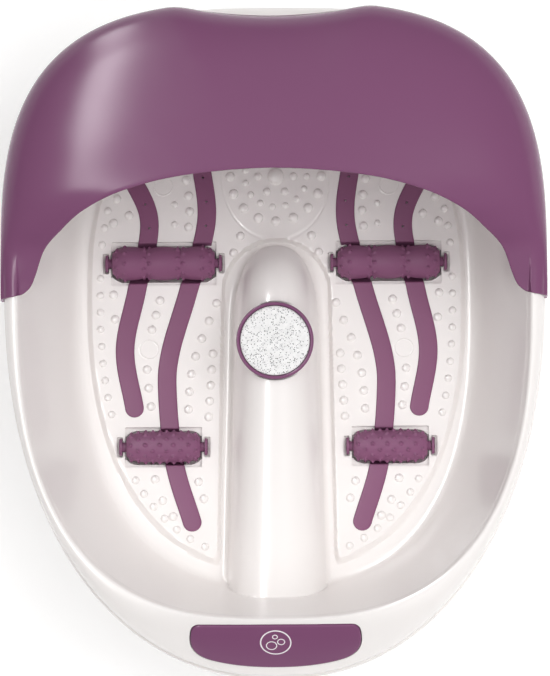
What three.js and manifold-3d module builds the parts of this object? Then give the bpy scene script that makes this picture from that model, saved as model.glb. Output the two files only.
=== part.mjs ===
// Foot spa basin: a tub with a rim and sloped front fascia, closed underneath by a tray-shaped housing.
// It holds four massage rollers, four air strips, a pumice attachment on the middle hump, a toe-touch
// button and a lift-off splash guard, with a vertical blower under the hump that feeds the air strips.
// Millimetres, +Z up. +X is the user's right, +Y is the toe end, -Y the heel end with the button.
// The origin is the middle of the object's footprint, on the surface that it stands on.
import * as THREE from "three";
import { mergeVertices } from "three/addons/utils/BufferGeometryUtils.js";
import Module from "manifold-3d";

const wasm = await Module();
wasm.setup();

// ---------- driving dimensions ----------
const LENGTH = 417; // toe end to heel end, over the rim
const RIM_WIDTH = 338; // across the widest part of the rim
const WIDEST_Y = 39.5; // where the basin is widest
const WALL = 2.5; // moulded wall of the tub and of the housing
const GAP = 0.4; // play between pieces that meet
const STEPS = 36; // points round each outline
const BEYOND = 200; // far side of a cut that runs right out of a piece

const TROUGH_Z = 40; // lowest floor inside the tub
const BED_Z = 46; // raised foot beds
const CREST_Z = 140; // top of the rim at y = 0
const CREST_SLOPE = 0.05; // the rim rises towards the toe end
const EDGE_DROP = 1.1; // how steeply the rim and the fascia fall outwards
const SKIRT = 12; // height of the rim's outer skirt
const BASE_Z = 4; // underside of the housing, above the feet

const ROLLER_Z = 46.5; // roller axles
const AXLE_R = 3;
const PUMICE_R = 24.5;
const SEAT_TILT = THREE.MathUtils.degToRad(9); // the pumice leans towards the heel end
const SEAT = new THREE.Vector3(0, 4, 93);
const BLOWER_Z = 9; // underside of the blower
const HOOD_WALL = 1.8;

// ---------- outlines: two superellipse halves that share the widest station ----------
const outline = (half, rear, front, rearPower, frontPower) => ({ half, rear, front, rearPower, frontPower });
const OUTER = outline(RIM_WIDTH / 2, LENGTH / 2 - WIDEST_Y, LENGTH / 2 + WIDEST_Y, 3.1, 2.25);
const CREST = outline(162, 161, 217, 3.1, 2.75);
const FOOT = outline(126.5, 132, 185, 2.9, 2.6); // where the tub's wall meets its floor
const BED = outline(120, 124, 176, 2.9, 2.35);

const grown = (o, by) => outline(o.half + by, o.rear + by, o.front + by, o.rearPower, o.frontPower);

function radius(o, angle) {
  const rear = Math.sin(angle) > 0;
  const power = rear ? o.rearPower : o.frontPower;
  const across = Math.abs(Math.cos(angle)) / o.half;
  const along = Math.abs(Math.sin(angle)) / (rear ? o.rear : o.front);
  return (across ** power + along ** power) ** (-1 / power);
}

const planPoint = (r, angle, z) => new THREE.Vector3(r * Math.cos(angle), WIDEST_Y + r * Math.sin(angle), z);

// ---------- heights of the rim ----------
const crestZ = (angle) => CREST_Z + CREST_SLOPE * (WIDEST_Y + radius(CREST, angle) * Math.sin(angle));
const bandWidth = (angle) => radius(OUTER, angle) - radius(CREST, angle);
const edgeZ = (angle) => crestZ(angle) - EDGE_DROP * bandWidth(angle);
const skirtZ = (angle) => edgeZ(angle) - SKIRT;

// The rim's section is a round bead where the band is narrow, and nearly flat where it is the front fascia.
const BEAD_POWER = 2;
const FASCIA_POWER = 1.12;
const NARROW_BAND = 8;
const WIDE_BAND = 30;

// Height at share s of the way from the crest to the outer edge.
function bandZ(angle, s) {
  const flat = THREE.MathUtils.smoothstep(bandWidth(angle), NARROW_BAND, WIDE_BAND);
  const power = THREE.MathUtils.lerp(BEAD_POWER, FASCIA_POWER, flat);
  return edgeZ(angle) + (crestZ(angle) - edgeZ(angle)) * (1 - s ** power) ** (1 / power);
}

// ---------- geometry helpers ----------
const positionsOf = (geometry) => geometry.attributes.position;

function signedVolume(geometry) {
  const corners = geometry.index.array;
  const [a, b, c] = [0, 0, 0].map(() => new THREE.Vector3());
  let sum = 0;
  for (let i = 0; i < corners.length; i += 3) {
    a.fromBufferAttribute(positionsOf(geometry), corners[i]);
    b.fromBufferAttribute(positionsOf(geometry), corners[i + 1]);
    c.fromBufferAttribute(positionsOf(geometry), corners[i + 2]);
    sum += a.dot(b.cross(c)) / 6;
  }
  return sum;
}

// A closed geometry as a solid for joining and cutting, turned to face outwards.
function solid(geometry) {
  const bare = geometry.clone();
  bare.deleteAttribute("normal");
  bare.deleteAttribute("uv");
  const merged = mergeVertices(bare, 1e-4);
  const corners = new Uint32Array(merged.index.array);
  if (signedVolume(merged) < 0)
    for (let i = 0; i < corners.length; i += 3) corners.subarray(i, i + 3).reverse();
  const vertProperties = new Float32Array(positionsOf(merged).array);
  return new wasm.Manifold(new wasm.Mesh({ numProp: 3, vertProperties, triVerts: corners }));
}

function geometryOf(body) {
  const mesh = body.getMesh();
  const positions = new Float32Array(mesh.numVert * 3);
  for (let i = 0; i < mesh.numVert; i++)
    positions.set(mesh.vertProperties.subarray(i * mesh.numProp, i * mesh.numProp + 3), i * 3);
  return new THREE.BufferGeometry()
    .setAttribute("position", new THREE.BufferAttribute(positions, 3))
    .setIndex(new THREE.BufferAttribute(mesh.triVerts, 1));
}

const join = (...solids) => solids.reduce((a, b) => a.add(b));
const cut = (from, ...tools) => tools.reduce((a, b) => a.subtract(b), from);

// Angles round the basin, closer together at the long heel end so that the sides of the ring are alike.
const ANGLES = Array.from({ length: STEPS }, (_, i) => {
  const turn = (2 * Math.PI * i) / STEPS;
  const stretch = Math.sin(turn) < 0 ? OUTER.front / OUTER.half : 1;
  return Math.atan2(stretch * Math.sin(turn), Math.cos(turn));
});

// One ring of points round the basin. r and z are functions of the angle.
const ring = (r, z) => ANGLES.map((angle) => planPoint(r(angle), angle, z(angle)));
const ringOf = (o, z) => ring((angle) => radius(o, angle), typeof z === "function" ? z : () => z);

// Closed body through a list of rings with equal point counts, capped by a fan at each end.
function loft(rings) {
  const count = rings[0].length;
  const centres = [rings[0], rings.at(-1)].map((points) =>
    points.reduce((sum, p) => sum.add(p), new THREE.Vector3()).divideScalar(count),
  );
  const points = [...rings.flat(), ...centres];
  const [first, last] = [points.length - 2, points.length - 1];
  const index = [];
  for (let j = 0; j < count; j++) {
    const k = (j + 1) % count;
    index.push(first, k, j);
    for (let i = 0; i + 1 < rings.length; i++) {
      const [a, b, c, d] = [i * count + j, i * count + k, (i + 1) * count + k, (i + 1) * count + j];
      index.push(a, b, c, a, c, d);
    }
    const top = (rings.length - 1) * count;
    index.push(last, top + j, top + k);
  }
  return solid(new THREE.BufferGeometry().setFromPoints(points).setIndex(index));
}

// Upright prism of a THREE.Shape in plan.
function prism(shape, low, high, curveSegments = 10) {
  const depth = high - low;
  const geometry = new THREE.ExtrudeGeometry(shape, { depth, bevelEnabled: false, curveSegments });
  return solid(geometry.translate(0, 0, low));
}

function box(low, high) {
  const size = high.map((h, i) => h - low[i]);
  const centre = high.map((h, i) => (h + low[i]) / 2);
  return solid(new THREE.BoxGeometry(...size).translate(...centre));
}

const rod = (r, low, high, x = 0, y = 0, sides = 16) =>
  solid(
    new THREE.CylinderGeometry(r, r, high - low, sides)
      .rotateX(Math.PI / 2)
      .translate(x, y, (low + high) / 2),
  );

// Round bar along Y, about the middle of its length.
const barAlongY = (r, length, sides = 16) => solid(new THREE.CylinderGeometry(r, r, length, sides));

const vectors = (points) => points.map(([x, y]) => new THREE.Vector2(x, y));

// Bodies of revolution about Z and about Y. The profile is a list of [radius, height].
const turned = (profile, sides = 24) =>
  solid(new THREE.LatheGeometry(vectors(profile), sides).rotateX(Math.PI / 2));
const turnedAlongY = (profile, sides) => solid(new THREE.LatheGeometry(vectors(profile), sides));

const moved = (body, matrix) => solid(geometryOf(body).applyMatrix4(matrix));
const shifted = (body, x, y, z) => moved(body, new THREE.Matrix4().makeTranslation(x, y, z));

// ---------- materials ----------
const material = (color, roughness, metalness = 0) =>
  new THREE.MeshStandardMaterial({ color, roughness, metalness });
const WHITE = material(0xece8e4, 0.25);
const PURPLE = material(0x83537a, 0.32);
const PURPLE_SOFT = material(0x8a5a80, 0.5);
const STONE = material(0xe6e6e4, 0.95);
const RUBBER = material(0x4a4a4c, 0.8);
const GREY = material(0x8c8c90, 0.5);
const BLACK = material(0x1e1e20, 0.5);
const STEEL = material(0xb8babd, 0.3, 1);

const foot_spa = new THREE.Group();
function piece(name, manifold, look, parent = foot_spa) {
  const mesh = new THREE.Mesh(geometryOf(manifold), look);
  mesh.name = name;
  parent.add(mesh);
  return mesh;
}

// ---------- rollers: where they are and the wells that hold them ----------
const DISC_R = 5.5; // flanges at the ends of an axle
const SADDLE = 1.4; // wall between a well and its end pockets
const TOE_ROLLER = { name: "toe", x: 72.6, y: 62.2, half: 33, r: 10.8, nub: 1.2, wellY: 28.5, floor: 31.6 };
const HEEL_ROLLER = { name: "heel", x: 72.8, y: -57.4, half: 23.7, r: 9.8, nub: 1.3, wellY: 26, floor: 32.4 };
const ROLLERS = [TOE_ROLLER, HEEL_ROLLER];
const SIDES = [
  { side: "left", sign: -1 },
  { side: "right", sign: 1 },
];
const wellHalf = (roller) => roller.half + 1;
const POCKET_X = 4; // inner length of an end pocket
const POCKET_Y = 13.4;
const CASE_WALL = 2; // plastic round and under a well

function rollerWell(roller, x) {
  const half = wellHalf(roller);
  const reach = half + SADDLE + POCKET_X;
  const top = BED_Z + 1;
  const hollow = box([-half, -roller.wellY / 2, roller.floor], [half, roller.wellY / 2, top]);
  const pocketFloor = ROLLER_Z - DISC_R - GAP;
  const pockets = cut(
    box([-reach, -POCKET_Y / 2, pocketFloor], [reach, POCKET_Y / 2, top]),
    box([-half - SADDLE, -POCKET_Y, 0], [half + SADDLE, POCKET_Y, 2 * top]),
  );
  const slotR = AXLE_R + GAP + 0.2;
  const slot = solid(new THREE.CylinderGeometry(slotR, slotR, 2 * reach - 1, 8).rotateZ(Math.PI / 2));
  const slotTop = box([-reach + 0.5, -slotR, ROLLER_Z], [reach - 0.5, slotR, top]);
  return shifted(join(hollow, pockets, shifted(slot, 0, 0, ROLLER_Z), slotTop), x, roller.y, 0);
}

// Plastic under the bed that a well and its end pockets are cut into.
function rollerWellCase(roller, x) {
  const half = wellHalf(roller) + SADDLE + POCKET_X + WALL;
  const top = BED_Z - 0.5;
  const wellReach = [half - POCKET_X, roller.wellY / 2 + CASE_WALL];
  const pocketReach = [half, POCKET_Y / 2 + CASE_WALL];
  const pocketFloor = ROLLER_Z - DISC_R - GAP;
  const under = ([reachX, reachY], floor) =>
    box([-reachX, -reachY, floor - CASE_WALL], [reachX, reachY, top]);
  return shifted(join(under(wellReach, roller.floor), under(pocketReach, pocketFloor)), x, roller.y, 0);
}

// ---------- air strips: centrelines from the toe end to the heel end, for the right foot ----------
const STRIP_WIDTH = 11.3;
const STRIP_Z = 44.3; // underside of a strip
const STRIP_TOP = 46.8;
const STRIPS = {
  inner: [[48.5, 128], [45, 90], [56.5, 45], [68.6, 3], [70.2, -25], [65.5, -69], [54.5, -106]],
  outer: [[96, 124], [82, 90], [90, 45], [97.6, 6], [91.5, -32]],
};

// Outline of a band of the given width along a centreline, with round ends.
function bandShape(points, width, sign, perSpan = 2) {
  const curve = new THREE.SplineCurve(points.map(([x, y]) => new THREE.Vector2(sign * x, y)));
  const steps = perSpan * (points.length - 1);
  const left = [];
  const right = [];
  for (let i = 0; i <= steps; i++) {
    const at = curve.getPoint(i / steps);
    const along = curve.getTangent(i / steps);
    const across = new THREE.Vector2(-along.y, along.x).multiplyScalar(width / 2);
    left.push(at.clone().add(across));
    right.push(at.clone().sub(across));
  }
  const cap = (end, tangent, from) =>
    [1, 2].map((k) => {
      const turn = from - (k * Math.PI) / 3 + tangent.angle();
      return new THREE.Vector2(Math.cos(turn), Math.sin(turn)).multiplyScalar(width / 2).add(end);
    });
  const heel = cap(curve.getPoint(1), curve.getTangent(1), Math.PI / 2);
  const toe = cap(curve.getPoint(0), curve.getTangent(0), -Math.PI / 2);
  return new THREE.Shape([...left, ...heel, ...right.reverse(), ...toe]);
}

const HOLE_R = 0.9; // air holes in a strip
const HOLE_PITCH = 20;
function airHoles(points, sign) {
  const curve = new THREE.SplineCurve(points.map(([x, y]) => new THREE.Vector2(sign * x, y)));
  const count = Math.floor(curve.getLength() / HOLE_PITCH);
  const clearOfWells = (p) => ROLLERS.every((roller) => Math.abs(p.y - roller.y) > roller.wellY / 2 + 4);
  return Array.from({ length: count }, (_, i) => curve.getPointAt((i + 0.5) / count))
    .filter(clearOfWells)
    .map((p) => rod(HOLE_R, STRIP_Z - 1, STRIP_TOP + 1, p.x, p.y, 6));
}

// A strip lies in its channel and dips through each well that it crosses, under the roller.
const LEG = 1; // thickness of the strip where it goes down a well's wall
function airStrip(points, sign) {
  const shape = bandShape(points, STRIP_WIDTH, sign);
  let strip = prism(shape, STRIP_Z, STRIP_TOP);
  for (const roller of ROLLERS) {
    const near = roller.wellY / 2 - GAP;
    const low = roller.floor + GAP;
    const inside = box([-BEYOND, roller.y - near, 0], [BEYOND, roller.y + near, BEYOND]);
    const hollow = box([-BEYOND, roller.y - near + LEG, low + LEG], [BEYOND, roller.y + near - LEG, BEYOND]);
    if (points.at(-1)[1] > roller.y) continue;
    const dipped = prism(shape, low, STRIP_TOP).intersect(inside);
    strip = cut(strip.add(dipped), hollow);
  }
  return cut(strip, ...airHoles(points, sign));
}

// ---------- the middle hump ----------
const HUMP_FRONT = -176;
const HUMP_REAR = 73;
const HUMP_ROUND = 18; // behind this station the hump rounds off towards the toes
const HUMP_POWER = 2.3;
const HUMP_ARCH = 10; // steps across the hump
const HUMP_STATIONS = [-110, -70, -40, -10, HUMP_ROUND, 32, 44, 54, 62, 68, 71.5]; // closer at the round end
// The hump is lower and wider at its heel end than where it begins to round off.
const HUMP_HEEL = { y: -150, half: 31.5, height: 34 };
const HUMP_TOP = { half: 27.3, height: 60.6 };
const alongHump = (y, key) =>
  THREE.MathUtils.mapLinear(y, HUMP_HEEL.y, HUMP_ROUND, HUMP_HEEL[key], HUMP_TOP[key]);
const humpHalf = (y) => alongHump(y, "half");
const humpHeight = (y) => alongHump(y, "height");

function hump(thinner, frontY, base) {
  const rear = HUMP_REAR - thinner;
  const stations = [frontY, ...HUMP_STATIONS].map((y) => Math.min(y, rear - 0.5));
  const sections = stations.map((y) => {
    const share = Math.max(0, (y - HUMP_ROUND) / (rear - HUMP_ROUND));
    const round = (1 - share ** HUMP_POWER) ** (1 / HUMP_POWER);
    const half = (humpHalf(Math.min(y, HUMP_ROUND)) - thinner) * round;
    const height = (humpHeight(Math.min(y, HUMP_ROUND)) - thinner) * round;
    const arch = Array.from({ length: HUMP_ARCH + 1 }, (_, i) => {
      const turn = (Math.PI * i) / HUMP_ARCH;
      const x = half * Math.sign(Math.cos(turn)) * Math.abs(Math.cos(turn)) ** (2 / HUMP_POWER);
      return new THREE.Vector3(x, y, TROUGH_Z + height * Math.sin(turn) ** (2 / HUMP_POWER));
    });
    return [...arch, new THREE.Vector3(-half, y, base), new THREE.Vector3(half, y, base)];
  });
  return loft(sections.filter((_, i) => i === 0 || stations[i] > stations[i - 1] + 0.4));
}

// U-shaped trough round the hump, between the two foot beds.
const MOAT = { rearHalf: 34.8, frontHalf: 38.5, archY: 43, frontY: -160 };
function moat(wider) {
  const { archY, frontY } = MOAT;
  const [rearHalf, frontHalf] = [MOAT.rearHalf + wider, MOAT.frontHalf + wider];
  const shape = new THREE.Shape()
    .moveTo(frontHalf, frontY)
    .lineTo(rearHalf, archY)
    .absarc(0, archY, rearHalf, 0, Math.PI, false)
    .lineTo(-frontHalf, frontY);
  return prism(shape, 20, 70);
}

// ---------- tub ----------
const WALL_RINGS = [
  { o: grown(FOOT, -6), z: () => TROUGH_Z },
  { o: FOOT, z: () => TROUGH_Z + 1.4 },
  { o: grown(FOOT, 4), z: () => TROUGH_Z + 6 },
  { o: grown(CREST, -3), z: (angle) => crestZ(angle) - 5 },
  { o: grown(CREST, -1.4), z: (angle) => crestZ(angle) - 1.2 },
  { o: CREST, z: crestZ },
];
const wallRing = ({ o, z }, out = 0, down = 0) => ringOf(grown(o, out), (angle) => z(angle) - down);
const BAND_SHARES = [1, 0.85, 0.5, 0.15, 0];
const band = (s, out = 0, down = 0) =>
  ring(
    (angle) => THREE.MathUtils.lerp(radius(CREST, angle), radius(OUTER, angle), s) + out,
    (angle) => bandZ(angle, s) - down,
  );

function tubShell() {
  const under = WALL_RINGS.slice(0, 4).map((r, i) => wallRing(r, i ? WALL : 0, WALL));
  const rimUnder = [band(0.35, -0.6, 3), band(0.8, -1.4, 2.6)];
  const inside = ringOf(grown(OUTER, -WALL), (angle) => edgeZ(angle) - 2);
  const skirtIn = ringOf(grown(OUTER, -WALL), skirtZ);
  const skirtOut = ringOf(OUTER, skirtZ);
  const over = BAND_SHARES.slice(0, -1).map((s) => band(s));
  const wall = WALL_RINGS.map((r) => wallRing(r)).reverse();
  return loft([...under, ...rimUnder, inside, skirtIn, skirtOut, ...over, ...wall]);
}

// Everything above the tub's inner face, grown by a margin, as a tool for trimming.
function cavity(margin) {
  const lid = ringOf(grown(CREST, margin), 200);
  return loft([...WALL_RINGS.map((r) => wallRing(r, margin, margin)), lid]);
}

function bedPlateau() {
  const foot = ringOf(grown(BED, 3), TROUGH_Z - 1);
  const shoulder = ringOf(grown(BED, 1), BED_Z - 1);
  const top = ringOf(grown(BED, -1), BED_Z);
  return cut(loft([foot, shoulder, top]), moat(0));
}

const CHANNEL_RIB = 15;
const SEAT_DEPTH = 2;
const CHANNEL_Z = 41.5;
function stripChannels() {
  const tools = [];
  const ribs = [];
  for (const { sign } of SIDES)
    for (const points of Object.values(STRIPS)) {
      ribs.push(prism(bandShape(points, CHANNEL_RIB, sign, 1), CHANNEL_Z - 2, BED_Z - 0.3));
      tools.push(prism(bandShape(points, STRIP_WIDTH + 2 * GAP, sign), BED_Z - SEAT_DEPTH, BED_Z + 1));
      tools.push(prism(bandShape(points, STRIP_WIDTH - 4, sign, 1), CHANNEL_Z, BED_Z));
      tools.push(rod(3, CHANNEL_Z - 4, BED_Z, sign * points[0][0], points[0][1] - 2, 10));
    }
  return { tools, ribs };
}

const SCREWS = [[112, 104], [112, 4], [72, -94]];
const screwPlaces = SIDES.flatMap(({ side, sign }) =>
  SCREWS.map(([x, y], i) => ({ name: `housing_screw_${side}_${i + 1}`, at: [sign * x, y] })),
);
const SCREW_SEAT_Z = 12.2; // top of the housing's screw cups
const SCREW_R = 1.6;
const PILOT_R = 2.4; // six-sided, so its flats clear the screw

const seatMatrix = new THREE.Matrix4().makeRotationX(SEAT_TILT).setPosition(SEAT);
const SOCKET_R = 8.4;
const SOCKET_DEPTH = 13;

// The hump with its hollow underside, on top of a shell.
function withHump(shell) {
  const skin = hump(0, HUMP_FRONT, TROUGH_Z - 1).intersect(cavity(1.2));
  const room = hump(WALL, -136, 20);
  return cut(shell.add(skin), room);
}

function tub() {
  const bodyAndBed = tubShell().add(bedPlateau());
  const { tools, ribs } = stripChannels();
  const atEachRoller = (make) =>
    SIDES.flatMap(({ sign }) => ROLLERS.map((roller) => make(roller, sign * roller.x)));
  const wells = atEachRoller(rollerWell);
  const wellCases = atEachRoller(rollerWellCase);
  const underBed = cut(
    loft([ringOf(grown(BED, -2), 20), ringOf(grown(BED, -3.5), BED_Z - WALL)]),
    moat(WALL),
  );
  const bosses = screwPlaces.map(({ at }) => rod(5, SCREW_SEAT_Z + GAP, BED_Z - 1, ...at, 8));
  const pilots = screwPlaces.map(({ at }) => rod(PILOT_R, 0, SCREW_SEAT_Z + 16, ...at, 6));
  const shell = cut(bodyAndBed, underBed);
  const socketCase = moved(rod(SOCKET_R + 2.2, -SOCKET_DEPTH - 2, 0), seatMatrix);
  const socket = moved(rod(SOCKET_R, -SOCKET_DEPTH, 4), seatMatrix);
  const seatCut = moved(rod(PUMICE_R + 0.7, 0, 30, 0, 0, 32), seatMatrix);
  const seatPlate = moved(rod(PUMICE_R, -WALL, 0, 0, 0, 32), seatMatrix).intersect(hump(0.3, HUMP_FRONT, 20));
  const hollowed = withHump(shell);
  const filled = join(hollowed, ...ribs, ...wellCases, ...bosses, socketCase, seatPlate, ...switchRibs());
  return cut(filled, ...wells, ...tools, ...pilots, socket, seatCut, buttonOpening());
}

// ---------- button in the fascia ----------
const BUTTON_PROUD = 1; // how far the button stands above the fascia
const BUTTON_SKIN = 2.2;
const BUTTON_DEPTH = 5;
const TAB_DEPTH = 10.8; // the hooks reach under the fascia, which curves back at the button's ends
const FRONT = -Math.PI / 2;
const fasciaTop = planPoint(radius(CREST, FRONT), FRONT, crestZ(FRONT));
const fasciaLow = planPoint(radius(OUTER, FRONT), FRONT, edgeZ(FRONT));
const upSlope = fasciaTop.clone().sub(fasciaLow).normalize();
const outward = new THREE.Vector3(1, 0, 0).cross(upSlope);
const buttonCentre = planPoint((radius(CREST, FRONT) + radius(OUTER, FRONT)) / 2, FRONT, bandZ(FRONT, 0.5));
// Local frame of the button: X across, Y up the slope, Z out of the fascia.
const buttonMatrix = new THREE.Matrix4()
  .makeBasis(new THREE.Vector3(1, 0, 0), upSlope, outward)
  .setPosition(buttonCentre);

function buttonShape(wider) {
  const [top, side, low] = [15.4 + wider, 53.4 + wider, -16.8 - wider];
  return new THREE.Shape()
    .moveTo(-side + 10, top - 1)
    .quadraticCurveTo(0, top + 1, side - 10, top - 1)
    .quadraticCurveTo(side - 3, top - 1.5, side - 1.5, top - 8)
    .quadraticCurveTo(side + 2, low + 10, side - 14, low + 5)
    .quadraticCurveTo(side - 30, low, 0, low)
    .quadraticCurveTo(-side + 30, low, -side + 14, low + 5)
    .quadraticCurveTo(-side - 2, low + 10, -side + 1.5, top - 8)
    .quadraticCurveTo(-side + 3, top - 1.5, -side + 10, top - 1);
}
const buttonPrism = (wider, low, high) => moved(prism(buttonShape(wider), low, high, 5), buttonMatrix);
const buttonOpening = () => buttonPrism(0.5, -8, 12);

// Everything under the rim's and fascia's top face, raised by an amount.
function underBand(raised) {
  const share = raised * Math.SQRT1_2; // out and up alike, since the band slopes at about 45 degrees
  const over = BAND_SHARES.map((s) => band(s, share, -share));
  return loft([ringOf(grown(OUTER, share), 50), ...over]);
}

const POST_R = 4;
const SWITCH_TOP = -13; // the switch's face, below the fascia
const SWITCH_SIZE = [16, 9, 10];
const PLUNGER_R = 2.4;

function button() {
  const blank = buttonPrism(0, -BUTTON_DEPTH, 12).intersect(underBand(BUTTON_PROUD));
  const room = buttonPrism(-1.8, -30, 12).intersect(underBand(BUTTON_PROUD - BUTTON_SKIN));
  const post = moved(rod(POST_R, -9, 0), buttonMatrix);
  const hook = new THREE.Shape()
    .moveTo(48.5, -4.6)
    .lineTo(48.5, -TAB_DEPTH)
    .lineTo(56.4, -TAB_DEPTH)
    .lineTo(56.4, -TAB_DEPTH + 2)
    .lineTo(50.5, -TAB_DEPTH + 2)
    .lineTo(50.5, -4.6);
  const hookGeometry = new THREE.ExtrudeGeometry(hook, { depth: 8, bevelEnabled: false });
  hookGeometry.rotateX(Math.PI / 2);
  const tabs = [0, Math.PI].map((turn) =>
    moved(solid(hookGeometry.clone().translate(0, 4, 0).rotateZ(turn)), buttonMatrix),
  );
  return join(cut(blank, room), post, ...tabs);
}

const switchBody = () => {
  const [x, y, z] = SWITCH_SIZE;
  const body = box([-x / 2, -y / 2, SWITCH_TOP - z], [x / 2, y / 2, SWITCH_TOP]);
  const bore = rod(PLUNGER_R + GAP, SWITCH_TOP - 6, SWITCH_TOP + 1, 0, 0, 12);
  const [bladeLow, bladeTop] = [SWITCH_TOP - z - 6, SWITCH_TOP - z + 1];
  const blades = [-4, 4].map((at) => box([at - 0.5, -2, bladeLow], [at + 0.5, 2, bladeTop]));
  return moved(cut(join(body, ...blades), bore), buttonMatrix);
};
const switchPlunger = () => moved(rod(PLUNGER_R, SWITCH_TOP - 3, -9 - GAP, 0, 0, 12), buttonMatrix);

// Two ribs under the fascia that grip the switch.
function switchRibs() {
  const [x, y, z] = SWITCH_SIZE;
  return [-1, 1].map((sign) => {
    const near = sign * (x / 2 + GAP);
    const far = near + sign * 2;
    const low = [Math.min(near, far), -y / 2, SWITCH_TOP - z + 2];
    const web = moved(box([low[0], -y / 2, low[2]], [Math.max(near, far), 40, SWITCH_TOP]), buttonMatrix);
    return cut(web.intersect(underBand(-1)), cavity(1));
  });
}

// ---------- housing ----------
const FEET = [[88, 140], [82, -122]];
const HOUSING_RINGS = [
  { grow: -36, z: () => BASE_Z },
  { grow: -26, z: () => BASE_Z + 3 },
  { grow: -18, z: () => 22 },
  { grow: -6, z: () => 58 },
  { grow: 1, z: (angle) => skirtZ(angle) - 7 },
  { grow: 1.6, z: (angle) => skirtZ(angle) - 2.5 },
  { grow: 0.8, z: (angle) => skirtZ(angle) - GAP },
];

function housingShell() {
  const outer = HOUSING_RINGS.map(({ grow, z }) => ringOf(grown(OUTER, grow), z));
  const lipOut = [skirtZ, (angle) => skirtZ(angle) + 5].map((z, i) =>
    ringOf(grown(OUTER, -WALL - GAP), i ? z : (angle) => z(angle) - GAP),
  );
  const lipIn = ringOf(grown(OUTER, -WALL - GAP - 2), (angle) => skirtZ(angle) + 5);
  // inset and rise of the inner face at each of the first five rings, from the bottom up
  const thickness = [
    [WALL, WALL],
    [WALL, WALL],
    [WALL + 0.3, 0],
    [WALL + 0.3, 0],
    [WALL + 1.5, 0],
  ];
  const inner = thickness
    .map(([inset, rise], i) => {
      const { grow, z } = HOUSING_RINGS[i];
      return ringOf(grown(OUTER, grow - inset), (angle) => z(angle) + rise);
    })
    .reverse();
  return loft([...outer, ...lipOut, lipIn, ...inner]);
}

function intakeSlots() {
  const count = 5;
  const pitch = 9;
  return Array.from({ length: count }, (_, i) => {
    const x = (i - (count - 1) / 2) * pitch;
    const half = Math.sqrt(24 ** 2 - x ** 2);
    return box([x - 1.5, -half, BASE_Z - 1], [x + 1.5, half, BASE_Z + WALL + 1]);
  });
}

const GLAND = { x: 60, y: 193, z: 30, r: 5, boss: 10.5 }; // y is the flat face of the housing's boss for it
const glandRod = (r, from, to, sides) =>
  shifted(barAlongY(r, to - from, sides), GLAND.x, (from + to) / 2, GLAND.z);

const BLOWER_POSTS = [[-36, 0], [36, 0], [0, -38]];

function housing() {
  const cups = screwPlaces.map(({ at }) => rod(7, BASE_Z + 0.5, SCREW_SEAT_Z, ...at, 10));
  const cupRooms = screwPlaces.map(({ at }) => rod(4.6, BASE_Z - 1, SCREW_SEAT_Z - WALL, ...at, 10));
  const screwHoles = screwPlaces.map(({ at }) => rod(PILOT_R, 0, 20, ...at, 6));
  const feetHoles = footPlaces.map(({ at }) => rod(FOOT_STEM_R + GAP + 0.1, 0, 20, ...at, 8));
  const posts = BLOWER_POSTS.map(([x, y]) => rod(4, BASE_Z + 0.5, BLOWER_Z + 1.6, x, y, 12));
  const glandBoss = glandRod(GLAND.boss, GLAND.y - 12, GLAND.y, 20);
  const glandHole = glandRod(GLAND.r + GAP, GLAND.y - 30, GLAND.y + 30, 14);
  const filled = join(housingShell(), ...cups, ...posts, glandBoss);
  return cut(filled, ...cupRooms, ...screwHoles, ...feetHoles, glandHole, ...intakeSlots());
}

// ---------- feet, screws, gland ----------
const FOOT_STEM_R = 3;
const footPlaces = SIDES.flatMap(({ side, sign }) =>
  FEET.map(([x, y], i) => ({ name: `foot_${i ? "front" : "rear"}_${side}`, at: [sign * x, y] })),
);
function rubberFoot() {
  const trayTop = BASE_Z + WALL;
  const pad = [[0, 0], [9, 0], [10, 1], [10, BASE_Z - GAP], [FOOT_STEM_R, BASE_Z - GAP]];
  const barb = [[FOOT_STEM_R, trayTop + GAP], [4.4, trayTop + 0.7], [2.4, trayTop + 4], [0, trayTop + 4]];
  return turned([...pad, ...barb], 12);
}

function screw() {
  const head = SCREW_SEAT_Z - WALL - GAP;
  const cap = [[0, head - 2.4], [3.4, head - 2.4], [3.7, head]];
  const body = turned([...cap, [SCREW_R, head], [SCREW_R, 24], [0, 26.5]], 8);
  const cross = [0, Math.PI / 2].map((turn) =>
    moved(box([-2, -0.5, 0], [2, 0.5, head - 1.2]), new THREE.Matrix4().makeRotationZ(turn)),
  );
  return cut(body, ...cross);
}

function cableGland() {
  const { r } = GLAND;
  const [bore, flange, inner, outer] = [3.6, r + 2.6, -14, 15];
  const neck = [[bore, inner], [r, inner], [r, GAP], [flange, GAP], [flange, 3]];
  const sleeve = [[r, 6], [r - 0.6, outer], [bore, outer], [bore, inner]];
  return shifted(turnedAlongY([...neck, ...sleeve], 14), GLAND.x, GLAND.y, GLAND.z);
}

// ---------- blower ----------
const BLOWER_R = 33;
const BLOWER_H = 20;
const HUB_Z = BLOWER_Z + BLOWER_H;
const MOTOR_R = 17;
const MOTOR_TOP = 71;
const DUCT_R = 7; // hose, to the middle of its wall
const SPIGOT_R = DUCT_R - 1.6;
const SPIGOT_BORE = DUCT_R - 3;
const DUCT_X = -5;
const DUCT_Y = 46; // where the blower's outlet ends
const OUTLET_Z = BLOWER_Z + BLOWER_H / 2 + 6;
const INLET_Z = OUTLET_Z + 3; // the manifold's spigot

// Drum with the square duct that leaves it towards the toe end.
function blowerDrum(r, low, high) {
  const ductEnd = DUCT_Y - 8 + r - BLOWER_R;
  return join(rod(r, low, high, 0, 0, 24), box([-r / 2 - 2, 0, low], [r / 2 - 6, ductEnd, high]));
}

const LUG_HALF = 4;
const DRUM_WALL = 2;
const DRUM_INLET_R = 16;

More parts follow.
